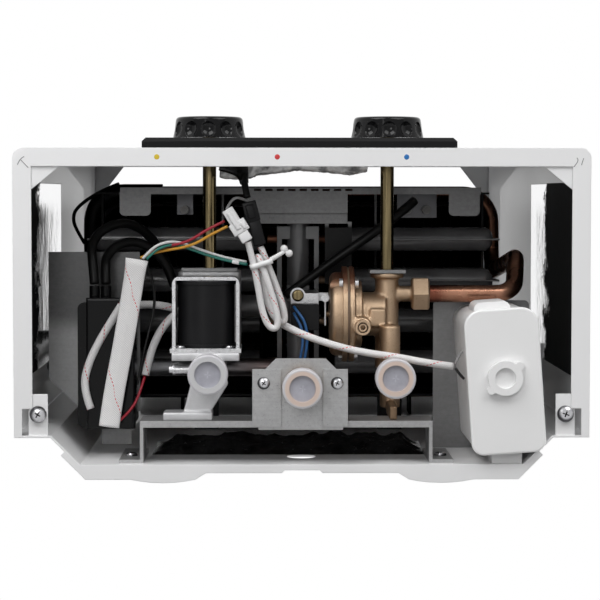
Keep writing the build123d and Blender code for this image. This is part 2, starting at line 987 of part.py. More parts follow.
# Solenoid frame: folded strip with its end plate
frame_left = solenoid_x - frame_half_w
frame_right = solenoid_x + frame_half_w
plate_front_y = gas_face_y - plate_t
with BuildPart() as solenoid_frame:
    with BuildSketch(Plane.XY.offset(frame_low_z)) as strip_plan:
        with Locations((solenoid_x, (frame_front_y + gas_face_y) / 2)):
            Rectangle(2 * frame_half_w, gas_face_y - frame_front_y)
        fillet(strip_plan.vertices().group_by(Axis.Y)[0], frame_corner_r)
        with Locations((solenoid_x, (frame_front_y + frame_t + gas_face_y) / 2)):
            inside_d = gas_face_y - frame_front_y - frame_t
            Rectangle(2 * (frame_half_w - frame_t), inside_d, mode=Mode.SUBTRACT)
    extrude(amount=frame_top_z - frame_low_z)
    block(
        (frame_left - plate_over, plate_front_y, plate_low_z),
        (frame_right + plate_over, gas_face_y, plate_top_z),
    )
    bar(
        (solenoid_x, plate_front_y, solenoid_z),
        (0, 1, 0),
        plunger_r + plunger_hole_gap,
        plate_t,
        Mode.SUBTRACT,
    )
save(solenoid_frame, "solenoid_frame")

# Solenoid coil on its bobbin
with BuildPart() as solenoid_coil:
    coil_len = plate_front_y - coil_front_y
    bar((solenoid_x, coil_front_y, solenoid_z), (0, 1, 0), coil_r, coil_len)
    for start_y in (coil_front_y, plate_front_y - coil_flange_t):
        bar((solenoid_x, start_y, solenoid_z), (0, 1, 0), coil_flange_r, coil_flange_t)
    bar(
        (solenoid_x, coil_front_y, solenoid_z),
        (0, 1, 0),
        plunger_r + plunger_fit,
        coil_len,
        Mode.SUBTRACT,
    )
save(solenoid_coil, "solenoid_coil")

# Solenoid plunger in the coil's bore
with BuildPart() as solenoid_plunger:
    bar((solenoid_x, plunger_rear_y, solenoid_z), (0, 1, 0), plunger_r, plunger_tip_y - plunger_rear_y)
save(solenoid_plunger, "solenoid_plunger")

# Screws that hold the solenoid's end plate
with BuildPart() as gas_screws:
    screw_reach = frame_half_w - frame_t - gas_screw_head_r - gas_screw_in
    for x in (solenoid_x - screw_reach, solenoid_x + screw_reach):
        for z in (plate_low_z + gas_screw_head_r, plate_top_z - gas_screw_head_r):
            bar((x, plate_front_y, z), (0, -1, 0), gas_screw_head_r, gas_screw_head_h)
save(gas_screws, "gas_screws")

# Pressure test nipple on the gas inlet
with BuildPart() as gas_test_nipple:
    bead_reach = inlet_r + nipple_len - nipple_neck
    bead = (gas_x - bead_reach, gas_y, nipple_z)
    bar((gas_x, gas_y, nipple_z), (-1, 0, 0), nipple_collar_r, inlet_r + nipple_collar_len)
    bar((gas_x, gas_y, nipple_z), (-1, 0, 0), nipple_r, bead_reach)
    bar(bead, (-1, 0, 0), nipple_bead_r, nipple_bead_len)
    bar(bead, (-1, 0, 0), nipple_tip_r, nipple_tip_len)
    bar((gas_x, gas_y, nipple_z - inlet_r), (0, 0, 1), inlet_r + nipple_gap, 2 * inlet_r, Mode.SUBTRACT)
save(gas_test_nipple, "gas_test_nipple")

# Transit caps on the three threaded ends
for name, x, y in (("gas_cap", gas_x, gas_y), ("hot_cap", hot_x, hot_y), ("cold_cap", cold_x, cold_y)):
    with BuildPart() as cap:
        bar((x, y, cap_low_z), (0, 0, 1), cap_r, cap_top_z - cap_low_z)
        fillet(cap.faces().sort_by(Axis.Z)[0].edges(), cap_edge)
        bar((x, y, cap_low_z + cap_floor), (0, 0, 1), thread_r + cap_gap, 2 * cap_cover, Mode.SUBTRACT)
        bar((x, y, cap_low_z), (0, 0, 1), cap_recess_r, cap_recess, Mode.SUBTRACT)
    save(cap, name)

# Gas manifold: feed pipe from the valve, centre tube, and the two injector rails
bracket_top_z = manifold_z - manifold_r - switch_boss_drop
with BuildPart() as gas_manifold:
    manifold_d = manifold_rear_y - manifold_front_y
    bar((manifold_x, manifold_front_y, manifold_z), (0, 1, 0), manifold_r, manifold_d)
    tube(
        [
            (feed_x, feed_y, feed_seat_z),
            (feed_x, feed_y, manifold_z + feed_rise),
            (manifold_x, feed_y, manifold_z + feed_rise),
        ],
        [feed_bend],
        feed_r,
    )
    for side in (-1, 1):
        inner_x = manifold_x + side * (rail_plate_x - rail_plate_t)
        outer_x = manifold_x + side * rail_plate_x
        block(
            (min(inner_x, outer_x), manifold_front_y + rail_inset, manifold_z - rail_drop),
            (max(inner_x, outer_x), manifold_rear_y - rail_inset, rail_plate_top_z),
        )
        for y in (manifold_front_y + link_inset, manifold_rear_y - link_inset):
            block(
                (min(manifold_x, outer_x), y - link_half, manifold_z - rail_drop),
                (max(manifold_x, outer_x), y + link_half, manifold_z + rail_drop),
            )
    block(
        (manifold_x - switch_boss_x, lever_pivot_y - switch_boss_y, bracket_top_z),
        (manifold_x + switch_boss_x, lever_pivot_y + switch_boss_y, manifold_z),
    )
save(gas_manifold, "gas_manifold")

# Injectors: one for each half bar, screwed into the rails
row_ys = [row_front_y + i * row_pitch for i in range(row_count)]
injector_z = rail_plate_top_z - injector_drop
with BuildPart() as injectors:
    for side in (-1, 1):
        for y in row_ys:
            bar((manifold_x + side * rail_plate_x, y, injector_z), (side, 0, 0), injector_r, injector_len)
save(injectors, "injectors")

# Burner bars: two pressed halves with a seam flange, rounded at the outer end, throat at the inner end
chamber_left = chamber_x - chamber_half
chamber_right = chamber_x + chamber_half
bar_mid_z = (bar_low_z + bar_top_z) / 2
bar_h = bar_top_z - bar_low_z
bar_corner = bar_w / 2 - bar_seam_t / 4
with BuildPart() as burner_bars:
    for side, edge_x in ((-1, chamber_left), (1, chamber_right)):
        for y in row_ys:
            inner_x = manifold_x + side * bar_inner_x
            end_x = edge_x + side * bar_out
            length = abs(end_x - inner_x)
            with BuildSketch(Plane(origin=(inner_x, y, bar_mid_z), x_dir=(0, 1, 0), z_dir=(side, 0, 0))):
                RectangleRounded(bar_w, bar_h, bar_corner)
            extrude(amount=length)
            tip = burner_bars.faces(Select.LAST).sort_by(Axis.X, reverse=side > 0)[0]
            fillet(tip.edges(), bar_round)
            low_x, high_x = sorted((inner_x, end_x + side * bar_spike))
            block(
                (low_x, y - bar_seam_t / 2, bar_low_z - bar_seam_drop),
                (high_x, y + bar_seam_t / 2, bar_mid_z),
            )
            hollow_x = inner_x + side * bar_wall
            with BuildSketch(Plane(origin=(hollow_x, y, bar_mid_z), x_dir=(0, 1, 0), z_dir=(side, 0, 0))):
                RectangleRounded(bar_w - 2 * bar_wall, bar_h - 2 * bar_wall, bar_corner - bar_wall)
            extrude(amount=length - bar_wall - bar_round, mode=Mode.SUBTRACT)
            bar((inner_x, y, injector_z), (side, 0, 0), bar_throat_r, 2 * bar_wall, Mode.SUBTRACT)
save(burner_bars, "burner_bars")

# Burner frame: slotted front crossbar with tabs and baffles, and the rails that the bars hang from
rail_z = bar_top_z + bar_hang
frame_top_rail = bar_top_z + frame_rise
with BuildPart() as burner_frame:
    block(
        (crossbar_left, crossbar_y, crossbar_low_z),
        (crossbar_right, crossbar_y + crossbar_t, frame_top_rail),
    )
    with BuildSketch(Plane.XY.offset(crossbar_low_z)):
        with Locations(((crossbar_left + crossbar_right) / 2, crossbar_y - crossbar_flange / 2)):
            Rectangle(crossbar_right - crossbar_left, crossbar_flange)
        with Locations((crossbar_slot_x, crossbar_y - crossbar_flange / 2)):
            with GridLocations(crossbar_slot_pitch, 1, crossbar_slots, 1):
                Rectangle(crossbar_slot_w, crossbar_slot_d, mode=Mode.SUBTRACT)
    extrude(amount=crossbar_t)
    with BuildSketch(Plane.XY.offset(crossbar_low_z)) as tab_plan:
        for side in (-1, 1):
            with Locations((side * crossbar_tab_x, crossbar_y + crossbar_tab_d / 2)):
                Rectangle(crossbar_tab_w, crossbar_tab_d)
        fillet(tab_plan.vertices().group_by(Axis.Y)[-1], crossbar_tab_r)
        with Locations(((centre_plate_left + centre_plate_right) / 2, crossbar_y + centre_plate_d / 2)):
            Rectangle(centre_plate_right - centre_plate_left, centre_plate_d)
    extrude(amount=crossbar_t)
    block(
        (centre_strip_left, centre_plate_y - crossbar_t, crossbar_low_z),
        (centre_plate_right, centre_plate_y, centre_strip_z + crossbar_t),
    )
    block(
        (centre_strip_left, centre_plate_y - crossbar_t, centre_strip_z),
        (centre_plate_right, centre_strip_y, centre_strip_z + crossbar_t),
    )
    block(
        (baffle_left, centre_strip_y - crossbar_t, centre_strip_z + crossbar_t),
        (baffle_right, baffle_rear_y, centre_strip_z + 2 * crossbar_t),
    )
    block(
        (baffle_left + 2 * crossbar_t, centre_strip_y, centre_strip_z + crossbar_t),
        (baffle_right - 2 * crossbar_t, centre_strip_y + baffle_slot, centre_strip_z + 2 * crossbar_t),
        Mode.SUBTRACT,
    )
    for x in (chamber_left, chamber_right - frame_rail_t):
        block((x, crossbar_y, rail_z), (x + frame_rail_t, chamber_rear_y, chamber_low_z))
    for x in (-bar_rail_x, bar_rail_x):
        block((x, crossbar_y, rail_z), (x + frame_rail_t, chamber_rear_y, rail_z + bar_rail_h))
    for y in (crossbar_y, chamber_rear_y - crossbar_t):
        block((chamber_left, y, bar_low_z + frame_rise), (chamber_right, y + crossbar_t, frame_top_rail))
    for x in (-frame_lug_x, frame_lug_x):
        block(
            (x - frame_lug_half, chamber_rear_y - crossbar_t, bar_top_z - crossbar_t),
            (x + frame_lug_half, panel_front_y, bar_top_z),
        )
save(burner_frame, "burner_frame")

# Electrodes: ceramic rods on a small plate at the front of the burner
with BuildPart() as electrodes:
    plate_z = bar_low_z - electrode_inset
    rod_y = crossbar_y + electrode_y_gap
    block(
        (electrode_left, crossbar_y + crossbar_t, plate_z),
        (electrode_left + electrode_plate_w, crossbar_y + electrode_plate_d, plate_z + electrode_plate_t),
    )
    for i in range(2):
        x = electrode_left + electrode_inset + i * electrode_pitch
        bar((x, rod_y, plate_z - electrode_drop), (0, 0, 1), electrode_r, electrode_len)
    probe_right = probe_left + probe_w
    block(
        (probe_left, crossbar_y + crossbar_t, plate_z),
        (probe_right, crossbar_y + probe_d, plate_z + electrode_plate_t),
    )
    probe_x = (probe_left + probe_right) / 2
    bar((probe_x, rod_y, plate_z - electrode_drop), (0, 0, 1), electrode_r, electrode_len)
save(electrodes, "electrodes")

# Fire chamber: sheet box open above and below, on two ears from the back plate
chamber_y = (chamber_front_y + chamber_rear_y) / 2
chamber_d = chamber_rear_y - chamber_front_y
with BuildPart() as fire_chamber:
    with BuildSketch(Plane.XY.offset(chamber_low_z)):
        with Locations((chamber_x, chamber_y)):
            RectangleRounded(2 * chamber_half, chamber_d, chamber_round)
            RectangleRounded(
                2 * (chamber_half - chamber_t),
                chamber_d - 2 * chamber_t,
                chamber_round - chamber_t,
                mode=Mode.SUBTRACT,
            )
    extrude(amount=chamber_top_z - chamber_low_z)
    for x in (-chamber_ear_x, chamber_ear_x):
        block(
            (x - chamber_ear_t / 2, chamber_rear_y - chamber_t / 2, chamber_ear_low_z),
            (x + chamber_ear_t / 2, panel_front_y, chamber_ear_low_z + chamber_ear_h),
        )
save(fire_chamber, "fire_chamber")

# Fin block: closed rim with a row of slots between the fins
fin_top_z = chamber_top_z + fin_h
with BuildPart() as fin_block:
    block((chamber_left, chamber_front_y, chamber_top_z), (chamber_right, chamber_rear_y, fin_top_z))
    fin_pitch = (2 * chamber_half - 2 * fin_rim + fin_t) / fin_count
    with BuildSketch(Plane.XY.offset(chamber_top_z)):
        with Locations((chamber_x, chamber_y)):
            with GridLocations(fin_pitch, 1, fin_count, 1):
                Rectangle(fin_pitch - fin_t, chamber_d - 2 * fin_rim)
    extrude(amount=fin_h, mode=Mode.SUBTRACT)
    tube_pitch = chamber_d / fin_tubes
    tube_spots = [
        (chamber_front_y + (i + (1 + layer) / 2) * tube_pitch, fin_tube_lift + layer * fin_tube_rise)
        for layer in range(2)
        for i in range(fin_tubes - layer)
    ]
    side_plane = Plane(origin=(chamber_left, 0, chamber_top_z), x_dir=(0, 1, 0), z_dir=(1, 0, 0))
    with BuildSketch(side_plane):
        with Locations(*tube_spots):
            Circle(fin_tube_r)
    extrude(amount=2 * chamber_half)
    with BuildSketch(side_plane.offset(fin_rim)):
        with Locations(*tube_spots):
            Circle(fin_tube_bore)
    extrude(amount=2 * chamber_half, mode=Mode.SUBTRACT)
save(fin_block, "fin_block")

# Flue hood: straight sheet walls on the fin block, then a hopper to the round collar
hood_wall_z = fin_top_z + hood_wall_h
hood_top_z = hood_wall_z + hood_h
with BuildPart() as flue_hood:
    for inset, mode in ((0.0, Mode.ADD), (hood_t, Mode.SUBTRACT)):
        with BuildSketch(Plane.XY.offset(fin_top_z)) as wall_plan:
            with Locations((chamber_x, chamber_y)):
                RectangleRounded(2 * (chamber_half - inset), chamber_d - 2 * inset, chamber_round - inset)
        extrude(amount=hood_wall_h, mode=mode)
        with BuildSketch(Plane.XY.offset(hood_wall_z)):
            add(wall_plan.sketch.moved(Location((0, 0, -fin_top_z))))
        with BuildSketch(Plane.XY.offset(hood_top_z)):
            with Locations((chamber_x, chamber_y)):
                round_r = collar_r - inset
                RectangleRounded(2 * round_r, 2 * round_r, round_r - hood_top_flat)
        loft(ruled=True, mode=mode)
    with BuildSketch(Plane.XY.offset(hood_top_z)):
        with Locations((chamber_x, chamber_y)):
            Circle(collar_r)
            Circle(collar_r - collar_t, mode=Mode.SUBTRACT)
    extrude(amount=collar_top_z - hood_top_z)
save(flue_hood, "flue_hood")

# Cold pipe: from the union nut, up the right side, once round the chamber, into the fin block
wrap_right_x = chamber_right + cold_r + wrap_side_gap
wrap_left_x = chamber_left - cold_r - wrap_side_gap
wrap_front_y = chamber_front_y - cold_r - wrap_end_gap
wrap_rear_y = chamber_rear_y + cold_r + wrap_end_gap
riser_x = wrap_right_x - riser_inset
with BuildPart() as cold_pipe:
    tube(
        [
            (outlet_end_x + pipe_end_gap, outlet_y, control_z),
            (riser_x, outlet_y, control_z),
            (riser_x + riser_out, outlet_y - riser_forward, control_z + riser_lift),
            (wrap_right_x, wrap_front_y + wrap_join, wrap_z),
            (wrap_right_x, wrap_front_y, wrap_z + wrap_rise),
            (wrap_left_x, wrap_front_y, wrap_z + 2 * wrap_rise),
            (wrap_left_x, wrap_rear_y, wrap_z + 3 * wrap_rise),
            (wrap_right_x, wrap_rear_y, wrap_z + 4 * wrap_rise),
            (wrap_right_x, exchanger_port_y, wrap_z + 5 * wrap_rise),
            (wrap_right_x, exchanger_port_y, exchanger_port_z),
            (chamber_right, exchanger_port_y, exchanger_port_z),
        ],
        cold_bends,
        cold_r,
        cold_r - cold_wall,
    )
save(cold_pipe, "cold_pipe")

# Hot pipe: from the fin block down the left side and across to the hot fitting
with BuildPart() as hot_pipe:
    tube(
        [
            (chamber_left, hot_run_y, exchanger_port_z),
            (hot_drop_x, hot_run_y, exchanger_port_z),
            (hot_drop_x, hot_run_y, hot_run_z),
            (hot_x - hot_turn_x, hot_run_y, hot_run_z),
            (hot_x, hot_y, hot_run_z - hot_turn_z),
            (hot_x, hot_y, hot_seat_z),
        ],
        hot_bends,
        hot_r,
        hot_r - hot_wall,
    )
save(hot_pipe, "hot_pipe")

# Hot fitting: threaded end, shoulder on the bracket, barrel up to the pipe
hot_plate_low_z = carrier_low_z - hot_plate_t
shoulder_z = carrier_low_z
with BuildPart() as hot_fitting:
    threaded_end(hot_x, hot_y)
    bar((hot_x, hot_y, thread_top_z), (0, 0, 1), thread_r - thread_groove, shoulder_z - thread_top_z)
    socket_top_z = hot_seat_z + hot_socket
    bar((hot_x, hot_y, shoulder_z), (0, 0, 1), thread_r + hot_shoulder, hot_shoulder_h)
    bar((hot_x, hot_y, shoulder_z), (0, 0, 1), hot_r + hot_barrel_wall, socket_top_z - shoulder_z)
    bore = socket_top_z - thread_low_z
    bar((hot_x, hot_y, thread_low_z), (0, 0, 1), hot_r - hot_wall, bore, Mode.SUBTRACT)
    bar((hot_x, hot_y, hot_seat_z), (0, 0, 1), hot_r + pipe_gap, hot_socket, Mode.SUBTRACT)
save(hot_fitting, "hot_fitting")

# Hot bracket: plate under the carrier bar that holds the hot fitting
with BuildPart() as hot_bracket:
    with BuildSketch(Plane.XY.offset(hot_plate_low_z)):
        with BuildLine():
            Polyline(
                (hot_plate_left, hot_plate_rear_y),
                (hot_plate_left, hot_plate_front_y + hot_plate_taper),
                (hot_plate_left + hot_plate_taper, hot_plate_front_y),
                (hot_plate_right - hot_plate_taper, hot_plate_front_y),
                (hot_plate_right, hot_plate_front_y + hot_plate_taper),
                (hot_plate_right, hot_plate_rear_y),
                close=True,
            )
        make_face()
        with Locations((hot_x, hot_y)):
            Circle(thread_r + hot_hole_gap, mode=Mode.SUBTRACT)
    extrude(amount=hot_plate_t)
    for edge_x, in_x in ((hot_wing_left, -hot_wing_in), (hot_wing_right, hot_wing_in)):
        block(
            (min(edge_x, in_x), hot_wing_front_y, hot_plate_low_z - hot_wing_t),
            (max(edge_x, in_x), hot_wing_rear_y, hot_plate_low_z),
        )
save(hot_bracket, "hot_bracket")

# Water valve body: diaphragm flange, neck, spindle column, inlet leg with its threaded end, outlet spigot
body_flange_x = diaphragm_x + diaphragm_t / 2
bolt_spots = [
    (
        valve_y + bolt_ring_r * math.cos(math.radians(angle)),
        valve_z + bolt_ring_r * math.sin(math.radians(angle)),
    )
    for angle in bolt_angles
]
with BuildPart() as water_valve_body:
    bar((body_flange_x, valve_y, valve_z), (1, 0, 0), valve_r, body_flange_t)
    bar((body_flange_x, valve_y, valve_z), (1, 0, 0), collar_body_r, collar_body_x - body_flange_x)
    neck = (collar_body_x - neck_lap, valve_y, valve_z)
    bar(neck, (1, 0, 0), neck_r, water_spindle_x - collar_body_x)
    spindle = (water_spindle_x, spindle_front_y, control_z)
    bar(spindle, (0, 1, 0), spindle_r, cold_y - spindle_front_y)
    bar(spindle, (0, 1, 0), spindle_flange_r, spindle_flange_t)
    block(
        (water_spindle_x - valve_web_in, valve_y - valve_web_front, control_z - valve_web_drop),
        (water_spindle_x - valve_web_out, valve_y + valve_web_rear, control_z),
    )
    outlet_len = outlet_end_x - water_spindle_x
    bar((water_spindle_x, outlet_y, control_z), (1, 0, 0), outlet_r, outlet_len)
    collar_len = outlet_end_x - nut_start_x
    bar((nut_start_x, outlet_y, control_z), (1, 0, 0), outlet_r + outlet_collar, collar_len)
    leg_front_y = valve_y + leg_start
    bar((cold_x, leg_front_y, leg_z), (0, 1, 0), leg_r, bar_front_y - leg_end_gap - leg_front_y)
    bar((cold_x, valve_y + leg_up, leg_z), (0, 0, 1), leg_r, valve_z - leg_z)
    threaded_end(cold_x, cold_y)
    bar((cold_x, cold_y, thread_low_z), (0, 0, 1), leg_r, leg_z - thread_low_z)
    block(
        (cold_x - cold_rib_half, bar_front_y - cold_rib_d, cold_rib_low_z),
        (cold_x + cold_rib_half, bar_front_y, leg_z),
    )
    bar((relief_x, relief_y, relief_top_z), (0, 0, 1), relief_r + relief_boss, valve_z - relief_top_z)
    bar((cold_x, cold_y, thread_low_z), (0, 0, 1), cold_bore_r, leg_z - thread_low_z, Mode.SUBTRACT)
    bar(spindle, (0, 1, 0), rod_r + rod_fit, spindle_depth, Mode.SUBTRACT)
    bar((body_flange_x, valve_y, valve_z), (1, 0, 0), body_cavity_r, body_flange_t, Mode.SUBTRACT)
    bar((outlet_end_x, outlet_y, control_z), (-1, 0, 0), outlet_bore_r, outlet_len, Mode.SUBTRACT)
    for y, z in bolt_spots:
        bar((body_flange_x, y, z), (1, 0, 0), bolt_r + bolt_gap, body_flange_t, Mode.SUBTRACT)
save(water_valve_body, "water_valve_body")

# Water valve cover: flange and hollow dome, with a bush for the flow rod
cover_flange_x = diaphragm_x - diaphragm_t / 2 - cover_flange_t
dome_len = cover_flange_x - dome_tip_x
with BuildPart() as water_valve_cover:
    with BuildSketch(Plane(origin=(cover_flange_x + cover_flange_t, valve_y, valve_z), z_dir=(-1, 0, 0))):
        Circle(dome_r)
    extrude(amount=cover_flange_x + cover_flange_t - dome_tip_x)
    fillet(water_valve_cover.faces().sort_by(Axis.X)[0].edges(), dome_edge)
    bar((cover_flange_x, valve_y, valve_z), (1, 0, 0), valve_r, cover_flange_t)
    bar(
        (cover_flange_x + cover_flange_t, valve_y, valve_z),
        (-1, 0, 0),
        cavity_r,
        cover_flange_x + cover_flange_t - dome_tip_x - dome_wall,
        Mode.SUBTRACT,
    )
    bar((dome_tip_x, valve_y, valve_z), (1, 0, 0), flow_rod_r + flow_rod_fit, dome_wall, Mode.SUBTRACT)
    for y, z in bolt_spots:
        bar((cover_flange_x, y, z), (1, 0, 0), bolt_r + bolt_gap, cover_flange_t, Mode.SUBTRACT)
        bar((dome_tip_x, y, z), (1, 0, 0), bolt_head_r + bolt_gap, dome_len, Mode.SUBTRACT)
save(water_valve_cover, "water_valve_cover")

# Diaphragm between the two flanges
with BuildPart() as diaphragm:
    face_x = diaphragm_x - diaphragm_t / 2
    bar((face_x, valve_y, valve_z), (1, 0, 0), valve_r - diaphragm_inset, diaphragm_t)
    for y, z in bolt_spots:
        bar((face_x, y, z), (1, 0, 0), bolt_r + bolt_gap, diaphragm_t, Mode.SUBTRACT)
save(diaphragm, "diaphragm")

# Flow rod: plate on the diaphragm and a pin out through the cover
flow_plate_x = diaphragm_x - diaphragm_t / 2 - flow_plate_t
flow_rod_tip_x = lever_x + lever_t / 2 + flow_rod_gap
with BuildPart() as diaphragm_rod:
    bar((flow_plate_x, valve_y, valve_z), (1, 0, 0), flow_plate_r, flow_plate_t)
    bar((flow_rod_tip_x, valve_y, valve_z), (1, 0, 0), flow_rod_r, flow_plate_x - flow_rod_tip_x)
save(diaphragm_rod, "diaphragm_rod")

# Bolts through the two flanges
with BuildPart() as water_valve_bolts:
    grip = body_flange_x + body_flange_t - cover_flange_x
    for y, z in bolt_spots:
        bar((cover_flange_x - bolt_head_h, y, z), (1, 0, 0), bolt_head_r, bolt_head_h)
        bar((cover_flange_x - bolt_head_h, y, z), (1, 0, 0), bolt_r, bolt_head_h + grip)
        bar((body_flange_x + body_flange_t, y, z), (1, 0, 0), bolt_nut_r, bolt_head_h)
save(water_valve_bolts, "water_valve_bolts")

# Relief nozzle screwed into the valve body, pointing down
with BuildPart() as relief_nozzle:
    mouth = (relief_x, relief_y, relief_low_z)
    relief_len = relief_top_z - relief_low_z
    bar(mouth, (0, 0, 1), relief_r, relief_len)
    bar(mouth, (0, 0, 1), relief_r - relief_wall, relief_well, Mode.SUBTRACT)
    post = (relief_x, relief_y, relief_low_z + relief_post_in)
    bar(post, (0, 0, 1), relief_post_r, relief_well - relief_post_in)
    bar(mouth, (0, 0, 1), relief_bore_r, relief_len - relief_floor, Mode.SUBTRACT)
save(relief_nozzle, "relief_nozzle")

# Union nut on the outlet spigot
with BuildPart() as union_nut:
    with BuildSketch(Plane(origin=(nut_start_x, outlet_y, control_z), x_dir=(0, 0, 1), z_dir=(1, 0, 0))):
        RegularPolygon(nut_flats / 2, 6, major_radius=False)
    extrude(amount=nut_end_x - nut_start_x)
    chamfer(union_nut.edges().filter_by(Axis.X, reverse=True), nut_bevel)
    nut_face = (nut_start_x, outlet_y, control_z)
    collar_r_in_nut = outlet_r + outlet_collar + pipe_gap
    bar(nut_face, (1, 0, 0), collar_r_in_nut, collar_len, Mode.SUBTRACT)
    bar(nut_face, (1, 0, 0), cold_r + pipe_gap, nut_end_x - nut_start_x, Mode.SUBTRACT)
save(union_nut, "union_nut")

# Flow switch, its bracket hung from the manifold, and its lever
bracket_front_y = lever_pivot_y - lever_guard
pin_low_z = lever_low_z - lever_guard
with BuildPart() as microswitch:
    block(
        (switch_left, switch_front_y, switch_low_z),
        (switch_right, switch_rear_y, switch_top_z),
    )
    chamfer(microswitch.edges().filter_by(Axis.Z), switch_bevel)
    button_y = (switch_front_y + switch_rear_y) / 2
    button_z = (lever_low_z + switch_top_z) / 2
    bar(
        (switch_right - switch_button_in, button_y, button_z),
        (1, 0, 0),
        switch_button_r,
        switch_button_in + switch_button,
    )
save(microswitch, "microswitch")

guard_z = lever_top_z + switch_plate_gap
with BuildPart() as microswitch_bracket:
    block(
        (switch_left, bracket_front_y, switch_top_z),
        (switch_right, switch_rear_y, switch_top_z + switch_plate_t),
    )
    bar((switch_screw_x, switch_screw_y, switch_top_z), (0, 0, 1), switch_lug_r, switch_plate_t)
    block(
        (switch_strip_left, bracket_front_y, switch_top_z),
        (switch_right, bracket_front_y + switch_plate_t, bracket_top_z),
    )
    block(
        (switch_strip_left, bracket_front_y, guard_z),
        (lever_x + lever_guard_x, lever_pivot_y + lever_guard, guard_z + switch_plate_t),
    )
    pin_foot = (lever_x, lever_pivot_y, pin_low_z)
    bar(pin_foot, (0, 0, 1), lever_pin_r, lever_top_z + lever_pin_top - pin_low_z)
    bar(pin_foot, (0, 0, 1), lever_collar_r, lever_low_z - switch_plate_gap - pin_low_z)
save(microswitch_bracket, "microswitch_bracket")

with BuildPart() as switch_screw:
    seat = (switch_screw_x, switch_screw_y, switch_top_z)
    bar(seat, (0, 0, -1), small_screw_head_r, small_screw_head_h)
    fillet(switch_screw.faces().sort_by(Axis.Z)[0].edges(), screw_dome)
save(switch_screw, "switch_screw")

with BuildPart() as microswitch_lever:
    block(
        (lever_x - lever_t / 2, lever_pivot_y, lever_low_z),
        (lever_x + lever_t / 2, lever_end_y, lever_top_z),
    )
    bar((lever_x, lever_pivot_y, lever_low_z), (0, 0, 1), lever_hub_r, lever_top_z - lever_low_z)
    bar(
        (lever_x, lever_pivot_y, lever_low_z),
        (0, 0, 1),
        lever_pin_r + lever_fit,
        lever_top_z - lever_low_z,
        Mode.SUBTRACT,
    )
save(microswitch_lever, "microswitch_lever")

# Controller box with two cable glands
gland_xs = (gland_x - gland_pitch / 2, gland_x + gland_pitch / 2)
with BuildPart() as controller_box:
    block((box_left, box_front_y + box_step, box_low_z + box_lid_h), (box_right, box_rear_y, box_top_z))
    fillet(controller_box.edges().filter_by(Axis.Z), box_round)
    lid_z = box_low_z + box_lid_h + box_lid_lap
    block((box_left + box_lid_in, box_front_y, box_low_z), (box_right, box_rear_y, lid_z))
    fillet(controller_box.faces().sort_by(Axis.Z)[0].edges(), box_edge)
    for x in gland_xs:
        start = (x, box_front_y + box_step + box_round, gland_z)
        bar(start, (0, -1, 0), gland_r, gland_len + box_step + box_round)
save(controller_box, "controller_box")

# Controller plate above the box, carried by a lug from the back plate
with BuildPart() as controller_plate:
    with BuildSketch(Plane.XY.offset(box_top_z)):
        with BuildLine():
            Polyline(
                (ctrl_plate_left, ctrl_plate_front_y),
                (ctrl_plate_right, ctrl_plate_front_y),
                (ctrl_plate_right, ctrl_plate_rear_y),
                (ctrl_plate_left + ctrl_cut, ctrl_plate_rear_y),
                (ctrl_plate_left, ctrl_plate_rear_y - ctrl_cut),
                close=True,
            )
        make_face()
    extrude(amount=ctrl_plate_t)
    block(
        (ctrl_lug_left, ctrl_plate_rear_y - ctrl_plate_t, box_top_z),
        (ctrl_lug_right, ctrl_plate_rear_y, ctrl_lug_z),
    )
    block(
        (ctrl_lug_left, ctrl_plate_rear_y - ctrl_plate_t, ctrl_lug_z - ctrl_plate_t),
        (ctrl_lug_right, panel_front_y, ctrl_lug_z),
    )
save(controller_plate, "controller_plate")


def battery_plan(inset=0.0):
    """The battery box's outline, in the sketch being drawn, on the box's own axes."""
    with BuildSketch(mode=Mode.PRIVATE) as plan:
        Rectangle(battery_w - 2 * inset, battery_l - 2 * inset)
        fillet(plan.vertices().group_by(Axis.Y)[0], battery_front_r - inset)
        fillet(plan.vertices().group_by(Axis.Y)[-1], battery_rear_r - inset)
    return plan.sketch


battery_plane = Plane(
    origin=(battery_x, battery_y, 0),
    x_dir=Vector(1, 0, 0).rotate(Axis.Z, battery_turn),
    z_dir=(0, 0, 1),
)

# Battery box: open at the bottom, hung from its plate
with BuildPart() as battery_box:
    with BuildSketch(battery_plane.offset(battery_low_z)):
        add(battery_plan(battery_lid_over))
    extrude(amount=battery_top_z - battery_low_z)
    block(
        (battery_lug_left, battery_y + battery_l / 2 - battery_lug_lap, battery_lug_low_z),
        (battery_lug_right, panel_front_y, battery_lug_top_z),
    )
    with BuildSketch(battery_plane.offset(battery_boss_low_z)):
        with Locations((battery_boss_x, -battery_l / 2 + battery_lid_over)):
            RectangleRounded(battery_boss_w, 2 * battery_boss_d, battery_boss_r)
    extrude(amount=battery_boss_h)
    with BuildSketch(battery_plane.offset(battery_low_z)):
        add(battery_plan(battery_lid_over + battery_wall))
    extrude(amount=battery_top_z - battery_low_z - battery_wall, mode=Mode.SUBTRACT)
save(battery_box, "battery_box")

# Battery lid
with BuildPart() as battery_lid:
    with BuildSketch(battery_plane.offset(battery_low_z - lid_t)):
        add(battery_plan())
    extrude(amount=lid_t)
    fillet(battery_lid.faces().sort_by(Axis.Z)[0].edges(), lid_edge)
    with BuildSketch(battery_plane.offset(battery_low_z - lid_t)):
        with Locations((0, latch_offset_y)):
            Circle(latch_shaft_r + latch_fit)
    extrude(amount=lid_t, mode=Mode.SUBTRACT)
save(battery_lid, "battery_lid")

